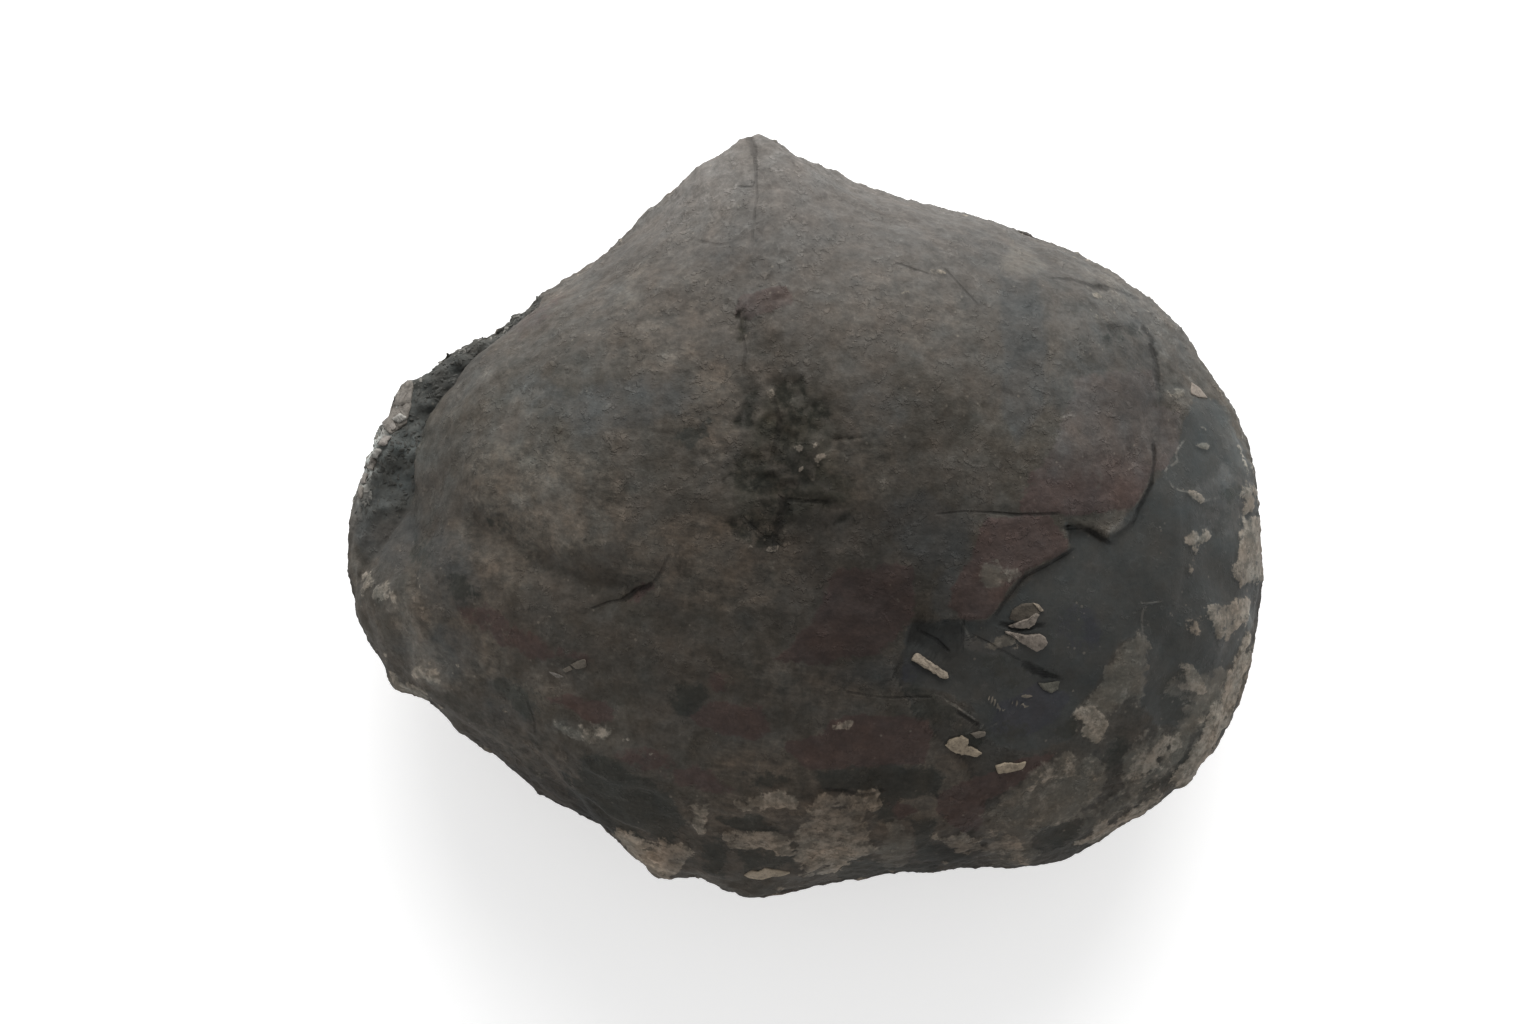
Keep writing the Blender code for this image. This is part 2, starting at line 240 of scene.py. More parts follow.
def evenPolar(reach, start, end, height, name, shelf):
    # spreads the grid's rows evenly along the valve's profile, with more on the hinge's shelf
    polar = np.linspace(math.radians(start), math.radians(end), valves["profileSteps"])
    share = np.clip(np.sin(polar), 0.0, 1.0)
    rise = height * (1.0 - share ** valves[name + "Squareness"]) ** valves[name + "Slimness"]
    shelfRows = shelf * smoothStep(math.radians(valves["hingeEnds"]), math.radians(90), polar)
    steps = np.hypot(np.diff(share * valves["halfWidth"]), np.diff(rise)) + np.abs(np.diff(shelfRows))
    along = np.concatenate(([0.0], np.cumsum(steps)))
    return np.interp(reach * along[-1], along, polar)


def keptSeen(plan, rim, share):
    # draws a raised rim inwards, so that the camera still sees it on the margin's line
    over = np.array(camera["over"])
    pull = (camera["levelSeen"] - rim) / (eyeHeight - camera["levelSeen"]) * share**4
    return plan + (plan - over) * pull[:, None]


def upperValve(share, angle):
    rim, fromBeak = rimHeight(angle)
    reach = share * outlineRadius(share, angle)
    plan = np.array(valves["upperCrown"]) + np.column_stack((np.cos(angle), np.sin(angle))) * reach[:, None]
    margins = marginRadius(angle)
    valveShare = np.clip(share / (1.0 - ledgePart(share, angle)), 0.0, 1.0)
    slimness = valves["upperSlimness"] + valves["beakSlimness"] * bell(fromBeak, valves["beakSlimSpread"])
    dome = (1.0 - valveShare ** valves["upperSquareness"]) ** slimness
    valve = rim + (valves["upperHeight"] - rim) * dome
    width = ledgeWidth(angle)
    shelf = rim + valves["ledgeHeight"] * (1.0 - share ** valves["ledgeRounding"]) * (width > 0)
    onLedge = smoothStep(-0.6, 0.1, shelf - valve) * (width > 0)
    outward = np.clip(1.0 - (1.0 - share) * margins / np.maximum(width, 0.5), 0.0, 1.0) * onLedge
    return np.column_stack((keptSeen(plan, rim, share), np.maximum(valve, shelf))), onLedge, outward


def lowerValve(share, angle, polar):
    rim, fromBeak = rimHeight(angle)
    pastHinge = smoothStep(math.radians(90), math.radians(valves["hingeEnds"]), polar)
    setback = valves["hingeSetback"] * bell(fromBeak, valves["hingeSpread"]) * pastHinge
    seam = valves["seamDepth"] * bell(np.degrees(polar) - valves["seamAngle"], valves["seamHalfAngle"])
    radius = np.minimum(outlineRadius(share, angle), marginRadius(angle))
    reach = share * (radius - setback) - seam
    belly = (1.0 - share ** valves["lowerSquareness"]) ** valves["lowerSlimness"]
    hinge = rim + (valves["rimHeight"] - rim) * pastHinge
    height = hinge + (valves["belly"] - hinge) * belly
    upperCrown, lowerCrown = np.array(valves["upperCrown"]), np.array(valves["lowerCrown"])
    crown = upperCrown + (lowerCrown - upperCrown) * (1.0 - share[:, None])
    plan = crown + np.column_stack((np.cos(angle), np.sin(angle))) * reach[:, None]
    return np.column_stack((keptSeen(plan, rim, share), height))


def shellSurface():
    # the points, faces and layout of both valves, as one closed skin
    reach, angle, quads, edge = discGrid(valves["cellsAbove"])
    polar = evenPolar(reach, 0.0, 90.0, valves["upperHeight"] - valves["rimHeight"], "upper", 0.0)
    share = np.clip(np.sin(polar), 0.0, 1.0)
    upper, onLedge, ledgeOutward = upperValve(share, angle)

    reachBelow, angleBelow, quadsBelow, edgeBelow = discGrid(valves["cellsBelow"])
    drop = valves["rimHeight"] - valves["belly"]
    polarBelow = evenPolar(reachBelow, 180.0, valves["lowerRim"], drop, "lower", valves["shelfRows"])
    shareBelow = np.clip(np.sin(polarBelow), 0.0, 1.0)
    lower = lowerValve(shareBelow, angleBelow, polarBelow)

    first = len(upper)
    top, under = edge, edgeBelow + first
    topNext, topAfter = np.roll(top, -1)[::2], np.roll(top, -2)[::2]
    underNext = np.roll(under, -1)
    strip = np.concatenate((
        np.stack((under, topNext, top[::2]), axis=-1),
        np.stack((under, underNext, topNext), axis=-1),
        np.stack((underNext, topAfter, topNext), axis=-1),
    ))
    faces = quads.tolist() + (quadsBelow[:, ::-1] + first).tolist() + strip.tolist()
    layout = {
        "share": np.concatenate((share, shareBelow)),
        "angle": np.concatenate((angle, angleBelow)),
        "onLedge": np.concatenate((onLedge, np.zeros(len(lower)))),
        "ledgeOutward": np.concatenate((ledgeOutward, np.zeros(len(lower)))),
        "below": np.concatenate((np.zeros(first), np.ones(len(lower)))),
    }
    return np.concatenate((upper, lower)), faces, layout


def vertexNormals(mesh):
    normals = np.empty(len(mesh.vertices) * 3, np.float32)
    mesh.vertex_normals.foreach_get("vector", normals)
    return normals.reshape(-1, 3)


def setPoints(mesh, points):
    mesh.vertices.foreach_set("co", np.ascontiguousarray(points * mm, np.float32).ravel())
    mesh.update()


def getPoints(mesh):
    points = np.empty(len(mesh.vertices) * 3, np.float32)
    mesh.vertices.foreach_get("co", points)
    return points.reshape(-1, 3).astype(float) / mm


def broadForms(mesh, points, layout):
    # swellings, creases, lamellae and lumps, along the surface's own direction
    plan, share, below = points[:, :2], layout["share"], layout["below"] > 0
    waver = valves["lamellaWaver"] * lumps(points, 5.0, 2.0)
    frontward = bell(turnedBy(layout["angle"], valves["lamellaSide"]), valves["lamellaSideSpread"])
    kept = frontward * smoothStep(-0.1, 0.3, lumps(points, valves["lamellaGaps"], 1.0))
    relief = swellings(plan, upperSwellings) + kept * lamellae(share + waver, valves["upperLamellae"])
    for width, depth, line in creases:
        relief -= depth * bell(lineDistance(plan, line), width / 2)
    underRelief = swellings(plan, lowerSwellings) + lamellae(share + waver, valves["lowerLamellae"])
    ledgeRelief = sum(lumps(points, size, height) for size, height in valves["ledgeLumps"])
    relief += (ledgeRelief - relief) * layout["onLedge"] * rockiness(plan)
    relief = np.where(below, underRelief, relief)
    relief += sum(lumps(points, size, height) for size, height in valves["lumps"])
    return points + vertexNormals(mesh) * relief[:, None]


def rockiness(plan):
    # the ledge is broken rock, but for its smooth lower end
    return smoothStep(-3.0, 2.0, plan[:, 1])


def fittedToSolid(points):
    # worn flat where it rests, and no larger than the solid that it stands for
    low, high = (np.array(corner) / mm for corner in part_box(stoneNode))
    points = points.copy()
    points[:, 2] = np.maximum(points[:, 2], 0.0)
    ownLow, ownHigh = points.min(axis=0), points.max(axis=0)
    middle, scale = (ownLow + ownHigh) / 2, np.minimum(1.0, (high - low) / (ownHigh - ownLow))
    points = middle + (points - middle) * scale
    over, under = points.max(axis=0) - high, low - points.min(axis=0)
    return points - np.maximum(over, 0.0) + np.maximum(under, 0.0)


# Where the finishes lie. Cover is 1 where a finish is whole, and less where it is patchy.
outlines = {   # cover, outline
    "maroon": [
        (0.78, [(23.7, 12.1), (26.7, 12.5), (30.5, 12.8), (30.8, 9.6), (33.1, 9.3), (33, 6.5), (32.1, 4.2),
            (30.3, 3.4), (29.1, 0.7), (25.6, -0.1), (18.5, 0), (19.2, 3.5), (20.7, 4.4), (22.7, 8.8)]),
        (1, [(15.9, -0.1), (21.6, 0), (23.2, -2.9), (19, -5.1), (17.6, -6.8), (16.2, -8.9), (13.9, -9.2),
            (12.4, -8), (13.1, -6.1), (14.3, -3.8)]),
        (0.78, [(2.4, -4.8), (9.6, -4.1), (9.7, -9.2), (6.6, -12.3), (2.1, -13.2), (-2.7, -12.5),
            (0.8, -9.2)]),
        (1.1, [(-1.8, -20.3), (-1.2, -19.7), (1.8, -19.3), (2.2, -17.9), (4.9, -17.4), (10.8, -17.8),
            (11, -19.1), (10.5, -21.6), (2.2, -22.2), (0.1, -22)]),
        (0.9, [(-10.6, -17.2), (-8.3, -16.3), (-3.5, -16.5), (-3.2, -18.8), (-4.5, -19.7), (-9.5, -18.4)]),
        (0.65, [(-12, -22), (-9.3, -21.6), (-5.3, -23.9), (-7, -24.7), (-11.6, -23.5)]),
        (1.1, [(11.7, -24.4), (14.2, -23.2), (19.3, -21.3), (22.4, -20.7), (18.4, -23.8), (15.9, -24.8),
            (15.1, -27.5), (13.8, -27.7), (11.7, -25.9)]),
        (0.62, [(-30.6, -7.8), (-28.1, -7.6), (-22.8, -10.7), (-18, -12.8), (-23.9, -12.6), (-29.7, -9.9)]),
        (0.7, [(-22.8, -15.9), (-20.7, -15.5), (-16.6, -16.3), (-16.6, -18), (-18.6, -18.4)]),
        (1.4, [(-6.2, 17.4), (-5.3, 19), (-1.7, 19.9), (-1.2, 18.6), (-4.9, 17.1)]),
    ],
    "drab": [
        (0.95, [(29.5, -10.6), (28.1, -11.1), (26.9, -12.4), (26.2, -14.4), (24.9, -16), (23.4, -17.1),
            (24.3, -18.3), (23.9, -19.4), (25.9, -19.8), (26.4, -17.7), (28.2, -16.1), (29.5, -15.8),
            (29.9, -14.2), (29.4, -12.6), (30.1, -11.5)]),
        (1, [(26.6, -22), (26, -24.3), (24.7, -25.5), (23.1, -26.6), (21.2, -27), (20, -27.8),
            (19.8, -28.8), (20.8, -29.7), (18.5, -30.5), (16.1, -30.1), (15.6, -29), (16.3, -27),
            (15.6, -26.1), (16.9, -25.1), (18.1, -23.9), (19.2, -22.8), (20.8, -21.6), (22.7, -20.8),
            (25, -21.2)]),
        (0.74, [(15, -4.4), (16.7, -4.1), (18.8, -5), (17.2, -6.8), (15.6, -6.2)]),
        (0.8, [(7.8, -26.8), (9.5, -27.6), (9.7, -28.9), (8.9, -30.4), (7.2, -30.8), (6, -29.5)]),
        (0.7, [(-22.6, -18.2), (-17.2, -18.4), (-16.1, -20.1), (-19.7, -19.7)]),
        (0.7, [(31.5, -14.5), (34.5, -13.2), (37.4, -13.5), (36.5, -17), (34.2, -20), (31.5, -23),
            (28, -24.5), (27.2, -21.5), (29.5, -19.2), (32.4, -18.4), (33.6, -16.4), (31.6, -16)]),
        (0.6, [(24.5, -25), (28, -23.5), (31.6, -24.2), (27.5, -27), (23.5, -28.8)]),
    ],
    "tan": [
        (0.9, [(25.4, -17), (24.4, -16.6), (23.4, -17.1), (24.3, -18.3), (23.9, -19.4), (25.9, -19.8),
            (26.4, -18)]),
        (1.1, [(35.5, -7.9), (36.1, -8.1), (36.9, -7.9), (37.8, -7.7), (38.7, -7.6), (38.6, -8.4),
            (38.2, -9.3), (37.3, -9.9), (36.9, -10.7), (36.4, -10.4), (35.7, -9.7), (35.5, -8.9)]),
        (1, [(33.8, -9), (34.3, -9.1), (34.8, -10.1), (34.3, -10.2)]),
        (1.2, [(38.5, -0.8), (39.5, -0.3), (39.9, -1), (40, -3.1), (39.9, -5.4), (38.8, -5.6), (37.9, -5.5),
            (38.1, -3.8), (38.3, -2.2)]),
        (0.95, [(33.2, -1.7), (33.7, -1.4), (34.1, -1), (34.3, -1.7), (35.2, -1.8), (36, -2), (35, -2.3),
            (34.6, -2.9), (34.1, -4.1), (33.8, -4.9), (33.6, -4.5), (34.1, -3.4), (34.2, -2.7),
            (33.3, -2.4)]),
        (1.2, [(33.1, -13), (33.6, -13.4), (34.4, -13.9), (34.9, -15.4), (34.5, -15.5), (34, -15.2),
            (33.1, -15), (33.6, -14.6), (33.7, -14.1)]),
        (1, [(38.8, -10.4), (38.6, -11.5), (38.7, -12.9), (38.3, -14.2), (37.7, -16), (37.1, -17.7),
            (36.3, -18.8), (35.6, -19.8), (34.9, -21.2), (33.6, -23), (32.8, -23.3), (32.4, -22.8),
            (33.3, -21.6), (34, -20.7), (34.9, -19.7), (35, -18.6), (34.9, -17.7), (35.7, -16.6),
            (36.6, -16), (36.9, -14.8), (37.3, -13.9), (37.8, -13.2), (38.1, -12)]),
        (0.8, [(32.8, -19), (32.9, -19.5), (32.4, -20.3), (31.4, -21.4), (30.8, -22.3), (30, -22.8),
            (29.1, -22.6), (28.4, -23), (28.2, -22.4), (29, -21.6), (29.3, -20.9), (30.3, -20),
            (31.2, -19.3), (32.1, -19.1)]),
        (0.6, [(19.8, -22.6), (22, -21.4), (25, -21.6), (25.6, -22.8), (22.5, -22.6), (19.6, -24.2),
            (18.4, -23.8)]),
        (0.62, [(16.4, -29.6), (16.2, -27.6), (17.6, -27), (19, -28.4), (19.2, -30)]),
        (0.54, [(24.1, -28.6), (25, -27), (26.6, -26.5), (28.2, -25.5), (29.5, -24.9), (31.4, -24.6),
            (29, -26.6), (25.8, -28.6)]),
        (0.5, [(31.4, 10.6), (32.2, 11.4), (33.1, 11.2), (33.3, 10.2), (32.2, 9.8)]),
        (0.34, [(37.2, 4.4), (38.9, 4.1), (39.6, 1.4), (39.6, -1.2), (38.5, -0.1), (37.8, 0.9)]),
        (1.1, [(1.2, -24.2), (3, -24.6), (6.4, -24.1), (6.1, -25), (3.6, -25.3), (0.9, -25.6)]),
        (0.72, [(0.9, -25.3), (5.6, -25), (5, -27), (6.4, -28.9), (3, -30.8), (0.1, -31.4), (-0.9, -29.7),
            (-0.9, -27.8), (0.3, -26.6)]),
        (0.85, [(-6.4, -25.1), (-2, -24), (-0.7, -24.7), (-0.7, -25.5), (-5.3, -25.8)]),
        (0.95, [(-10.1, -25.5), (-8.5, -25.3), (-8.5, -26.4), (-9.3, -27.6), (-9.5, -26.6)]),
        (1, [(-7, -27.8), (-4.5, -27.5), (-2, -28), (-0.7, -28.9), (-1.6, -29.3), (-3.7, -28.7),
            (-6.4, -28.7)]),
        (1.2, [(-16.2, -27.6), (-15, -27.8), (-13.5, -28.9), (-11.8, -28.9), (-10.8, -28.5), (-10.1, -29.3),
            (-11.2, -30.8), (-12.7, -31.7), (-14.7, -29.9)]),
        (0.8, [(11, -28.1), (13.1, -27.6), (15.2, -28.1), (15.6, -29.1), (13.1, -29)]),
        (1.1, [(-36.1, -14.3), (-34.8, -14.9), (-33.2, -15.3), (-33.3, -16.1), (-35.8, -15.7)]),
    ],
    "dark": [
        (1, [(0.9, -22.4), (6.8, -22), (11, -22.2), (12, -23), (11.6, -24.1), (6.8, -25.1), (6.4, -24.1),
            (1.2, -24.1)]),
        (0.95, [(-19.7, -21.2), (-17.6, -20.7), (-14.9, -22.6), (-11.3, -24.7), (-10.9, -28.5),
            (-11.7, -28.9), (-15.9, -27), (-19.3, -24.7)]),
        (0.95, [(-8.9, -28.7), (-7.4, -28.1), (-6.8, -29.3), (-7, -31.8), (-8.7, -30.8)]),
        (0.9, [(-6, -28.9), (-0.7, -29.2), (-0.9, -30.6), (-5.3, -30.8)]),
        (0.9, [(9.3, -26.6), (11.8, -26.6), (11, -28.3), (14.1, -29.9), (9.5, -30.7), (9.7, -28.9)]),
        (0.9, [(20.3, -27.3), (21.6, -26.7), (23.4, -26.6), (23.8, -27.8), (22.6, -29), (20.9, -28.8)]),
        (0.62, [(24.6, -25.4), (27.4, -23.8), (28, -24.2), (26.2, -25.9), (24.6, -26.6)]),
        (0.8, [(26.2, -21.7), (28, -19.8), (28.2, -20.6), (27.6, -22.7), (26.1, -22.7)]),
        (0.85, [(31.2, -13.7), (33.7, -13.5), (34.3, -15.2), (34.3, -16.7), (33.3, -18.1), (32, -18.1),
            (31, -16.3), (30.7, -14.6)]),
        (0.8, [(30.5, -22.1), (32.4, -21.3), (34.3, -20.2), (33.7, -21.7), (30.8, -23.8), (29.5, -25),
            (28.7, -24.8), (29.1, -23.2)]),
        (0.75, [(26.3, 16.2), (28.6, 16.6), (28.9, 15.9), (26.3, 15.5)]),
        (0.8, [(3, -30), (8, -29.8), (12, -30), (12, -31.8), (3, -32.6)]),
        (0.7, [(8.4, -14.6), (11.5, -14.8), (13.4, -16.4), (13.4, -18.6), (9.4, -18)]),
        (1.2, [(-10.9, 6.8), (-8.3, 8.2), (-9, 6.8), (-10.1, 5.8)]),
    ],
    "bloom": [
        (1.1, [(17.3, 21.2), (17.2, 22.4), (18, 23.6), (19.7, 23.2), (20.9, 22), (21.3, 21.3),
            (19.4, 20.9)]),
    ],
    "cool": [
        (0.95, [(17, 20.8), (20.4, 20.5), (21.3, 14), (20.8, 9), (18.6, 6), (17.1, 9), (17.2, 14)]),
    ],
}
spots = {   # x, y, half length, half width, turn, cover
    "maroon": [
        (8.6, -25.8, 1.3, 0.6, 0, 0.9), (-14, -6.5, 1.6, 1, 20, 0.6), (-7.5, -14.6, 1.6, 0.9, 0, 0.65),
        (-14, -21.5, 4, 1, -12, 0.55), (-24, 17, 3, 1.6, 40, 0.5),
    ],
    "tan": [
        (35, 6.2, 0.6, 0.3, 10, 0.6), (34.3, 1.4, 0.6, 0.35, 0, 0.9), (-5, -2.7, 0.35, 0.25, 0, 0.75),
        (-3, -2.8, 0.5, 0.2, 0, 0.72), (-1.3, 6.3, 0.6, 0.4, 0, 0.6), (1.6, 5, 0.7, 0.3, 0, 0.58),
        (6, -25.6, 1.6, 0.5, 10, 0.5), (25.8, 19.2, 0.4, 0.3, 0, 0.9), (-37, -6.8, 1.7, 0.8, -20, 0.48),
        (-33.2, -13.8, 1, 0.6, -20, 0.5), (-18, -19, 3.1, 0.7, -10, 0.5), (11.6, 21.1, 0.9, 0.25, -5, 0.6),
        (8.4, 19.2, 0.6, 0.2, -18, 0.75), (17.6, -11.2, 1.4, 0.8, 0, 0.55), (3.3, -18.7, 0.9, 0.6, 0, 0.75),
        (-2.6, 10.3, 0.5, 0.8, -20, 0.6), (-0.8, 6.2, 0.6, 0.5, 0, 0.62), (0.6, 5.9, 0.45, 0.4, 0, 0.6),
        (-0.3, 4.1, 0.3, 0.22, 40, 0.66), (16.6, -16.4, 1, 0.17, -28, 0.85),
        (18.8, -16.5, 0.9, 0.2, -40, 0.9), (19.6, -15.9, 0.8, 0.15, -35, 0.85),
        (-20.6, -27.4, 2, 0.3, -35, 0.5), (-27.5, -20.8, 2, 0.3, -40, 0.5), (-37.6, 5.6, 1, 0.35, 62, 0.8),
        (8.9, -13.2, 2, 0.5, -5, 0.5),
    ],
    "dark": [
        (-24.9, -16, 2.4, 1.6, -30, 0.7), (-30.2, -6.4, 2.2, 1.2, -10, 0.52),
        (-17, -26.2, 4.5, 1.2, -38, 0.9), (-10.1, -16, 1.7, 1.3, 0, 0.85), (16.9, -18.6, 2.6, 1.7, 0, 0.5),
        (28.2, 15.8, 1.7, 0.8, -5, 0.5), (6.4, -31, 4.4, 0.7, 0, 0.7), (14.5, -19.4, 1.4, 0.6, -30, 0.8),
        (23, -18.5, 0.9, 0.6, 30, 1), (37.6, 2.2, 0.8, 2, 0, 0.5), (17.4, -13.4, 3.4, 1.2, -20, 0.55),
        (-3, -23, 3, 1, 10, 0.55), (-27, -0.3, 1.8, 1.1, -20, 0.5), (-5.5, -26.8, 3.2, 0.6, -8, 0.7),
        (7, -26.2, 1.1, 0.7, -20, 0.8), (36.5, -17.6, 1, 2, -30, 0.6), (-33.5, -3.5, 1, 2, 0, 0.5),
    ],
    "brown": [
        (-22.5, 1.5, 7.5, 4.5, -15, 0.9), (-8, -4, 8, 4.5, 0, 0.95), (-13, 17, 6, 5, 30, 0.5),
        (-27, -3, 5, 3, -20, 0.8), (8, 18, 7, 4, 0, 0.45), (2, -25, 14, 6, 0, 0.6),
        (2.5, -14, 8, 3, 0, 0.7), (-31, -10, 6, 5, -40, 0.7), (28, -22, 8, 5, 50, 0.7),
        (-8, 8.5, 2.5, 5, 0, 0.8), (5, 5, 3, 5, 0, 0.6), (-24, -22, 7, 3, -35, 0.6),
        (21, -24, 5, 3, 30, 0.8),
    ],
    "pit": [
        (-1.1, 10.3, 1.4, 1.5, 20, 1.1), (0.3, 8.6, 1.8, 1.2, 10, 1.2), (-3.2, 7.6, 1.1, 1.3, 0, 0.95),
        (-1.4, 6.6, 1.4, 1.3, 0, 0.95), (-4.3, 4.7, 1.6, 1.1, 0, 1.1), (-1.2, 4.4, 1.8, 1.3, 0, 1.05),
        (0.9, 3.7, 1.3, 1.5, 0, 1.1), (-5, 2.8, 1.4, 1.3, 0, 1.15), (-1.7, 1.3, 1, 1.3, 40, 1.6),
        (1, 1.2, 2.4, 0.4, 0, 0.8), (-2.6, -0.5, 1, 1.4, 30, 1.6), (-5, -0.9, 1.7, 1.1, -10, 1.25),
        (-3, -2.2, 1.5, 0.8, 10, 1.1), (3.4, 6.5, 1.6, 0.35, 8, 0.85), (-4.9, 9, 0.8, 1.8, -10, 0.8),
        (-3, 2.6, 1.4, 1, 0, 0.9), (3, 3, 1.4, 0.4, 10, 0.6), (3, 0, 1.8, 0.4, 30, 0.7),
        # the first two of these stand for the shade just under the maroon patch's left end: painted shade
        (-5.1, 16.3, 1.2, 1.4, 10, 0.6), (-5.6, 17.2, 0.5, 0.4, 0, 0.9), (-8.5, 2.6, 2.4, 0.4, 6, 0.55),
    ],
    "bloom": [
        (-36.2, -7, 2.2, 1.3, -10, 0.6), (-33.8, -11.2, 3, 1.4, 115, 0.8), (-33.6, -2.6, 0.3, 1.5, 10, 0.8),
        (-39.5, -3, 0.6, 3.6, 0, 0.7), (32.4, 11, 1.4, 1.3, 0, 0.9), (-29, 11.9, 2, 1.2, 35, 0.9),
        (-24.5, 10.2, 2, 1.4, 0, 0.5), (-21.5, 0.5, 5, 3, -10, 0.55), (-13, 15, 4, 3, 30, 0.4),
        (37.8, 1.8, 1.6, 4, 0, 0.8), (36.2, -11.5, 1.8, 0.8, 45, 0.8), (34.6, -12.5, 1, 0.5, 30, 0.7),
        (32.3, 10.7, 1.2, 1.2, 0, 0.9), (-22, -14.5, 3, 1.4, -20, 0.5), (-20, -19, 3.5, 0.9, -12, 0.7),
        (-11, -3.5, 3, 2, 0, 0.4), (26, 19.5, 3, 1.6, -35, 0.6), (-9, 20, 2.4, 3.6, 20, 0.4),
        (34.6, -2.2, 2, 1, 0, 0.5), (31.4, 12.6, 1.2, 1.8, 0, 0.7), (-35.9, -14.2, 1.6, 0.8, -30, 0.8),
        (25, -25, 4, 2, 40, 0.5), (16.5, -11.4, 2.4, 1, -20, 0.7), (13.5, -14.5, 2.6, 0.8, -20, 0.5),
        (-3, -13, 4, 1.4, 0, 0.35), (26.7, 1.8, 1, 0.4, 62, 0.9), (27, 0.6, 1.3, 0.6, 10, 0.8),
        (26.9, -1.1, 1, 0.4, 60, 0.8), (36.4, 2.6, 1.8, 2.4, 0, 1), (35.6, -0.4, 1.2, 1.4, 0, 0.7),
        (17, -5, 2.4, 1.2, 45, 0.9), (-15.3, 19.8, 2.2, 1.2, 30, 0.8), (-32.8, -14, 1.8, 1.3, -20, 1),
        (26.2, -19.6, 1.6, 1, 30, 0.9), (-1.4, 6.4, 0.7, 0.4, 0, 0.9), (1.6, 5, 0.9, 0.3, 5, 0.8),
        (-2.7, 10.1, 0.5, 1, -20, 0.7), (-8.7, 9.8, 0.3, 0.3, 0, 0.9), (20, -25.6, 2.4, 1.3, 20, 0.9),
        (15.2, -27.6, 0.7, 1.3, 0, 0.8), (22, -25.4, 3, 0.9, 15, 0.9), (14.6, -11, 1.8, 0.7, -20, 0.8),
        (39.2, -3, 0.8, 6, 0, 0.8),
    ],
    "crumpled": [
        (-3.4, 22.5, 3.6, 3.4, 0, 1), (-1.5, 5, 6, 8.5, 0, 1), (-6, -2, 5, 3, 0, 0.8),
        (13, -15.5, 6, 4, -20, 1), (-9, 8, 3, 6, 0, 0.6), (6, -24, 12, 4, 0, 0.8),
        (-24, -16, 7, 4, -35, 0.8), (26, -22, 7, 4, 45, 0.8), (32, 10, 2, 6, 0, 0.8),
    ],
    "cool": [
        (24, 12, 4, 3, 60, 0.6), (30, 16, 5.5, 3.5, -40, 0.55), (6.5, -13.8, 5, 1.6, 0, 0.75),
        (-16, 9.8, 7.8, 2.4, 8, 0.7), (-23.4, 11, 2.6, 1.4, 0, 0.6), (19.4, -17.2, 3.8, 1.7, 20, 1.3),
        (24, -10, 2.4, 3, 20, 0.6), (-36.4, 2.4, 1.8, 3.4, 10, 0.9), (11, -1.5, 4.5, 3, -30, 0.9),
        (28.5, 17.8, 4, 1.6, -30, 0.7), (-37.6, 0.4, 2.2, 4.5, 5, 0.9), (-31, -5, 3, 4, 10, 0.7),
        (-31, -12, 2.6, 3, 20, 0.7), (-35.6, -1, 2, 4, 5, 0.8), (12.8, -6.5, 1.3, 2.2, -15, 1),
        (6, 9, 3, 3, 0, 0.5), (-7, 24, 4, 2.5, 0, 0.5), (-34.6, -11.8, 1.2, 2.6, 25, 0.7),
        (-26, -16.5, 3, 2.5, -40, 0.6), (24, 7, 3, 1.4, 60, 0.4),
    ],
}
slateOutline = [
    (22.8, -0.3), (26.1, -2.5), (30.8, 3.2), (33, 7.5), (33.9, 10.2), (36.2, 10.2), (38.6, 6.2), (39.8, 1),
    (40.2, -5), (39.6, -9), (38.2, -11.5), (37, -13.4), (35.2, -16.6), (33.2, -18.8), (30.6, -18.2),
    (29.4, -16.4), (29, -13), (29.6, -10.3), (27.6, -11.2), (25.6, -15.1), (23.4, -17.5), (23.6, -19.6),
    (19.5, -20.8), (15.6, -19.6), (14.4, -16.6), (12.3, -15.6), (8.3, -14.6), (8.6, -9.2), (15.6, -9.2),
    (17.2, -8.1), (20.4, -4.8), (23.2, -2.5),
]
flakeEdge = [
    (28.2, 17.6), (30.1, 15.6), (30.8, 13.6), (30.9, 11.4), (30.9, 8.6), (30.2, 5.8), (30.3, 4.6),
    (30, 2.7), (28.9, 0.6), (28.7, -0.3), (27.9, -1.1), (26.5, -2), (24.9, -1), (22.8, -0.7), (23.2, -2.9),
    (21.3, -4), (19, -5.1), (17.6, -6.8), (16.9, -8), (16.1, -9.1), (13.9, -9), (9.4, -9), (8.7, -11.5),
    (7.6, -13.6),
]
baredCorners = [(10.5, -18.5), (14.0, -21.5), (22.0, -40.0), (60.0, -40.0), (60.0, 17.6)]
socketOutline = [(9.4, -9.1), (13.7, -9.1), (13.6, -12.5), (12.4, -12.9), (11, -11.9), (8.9, -11.4)]
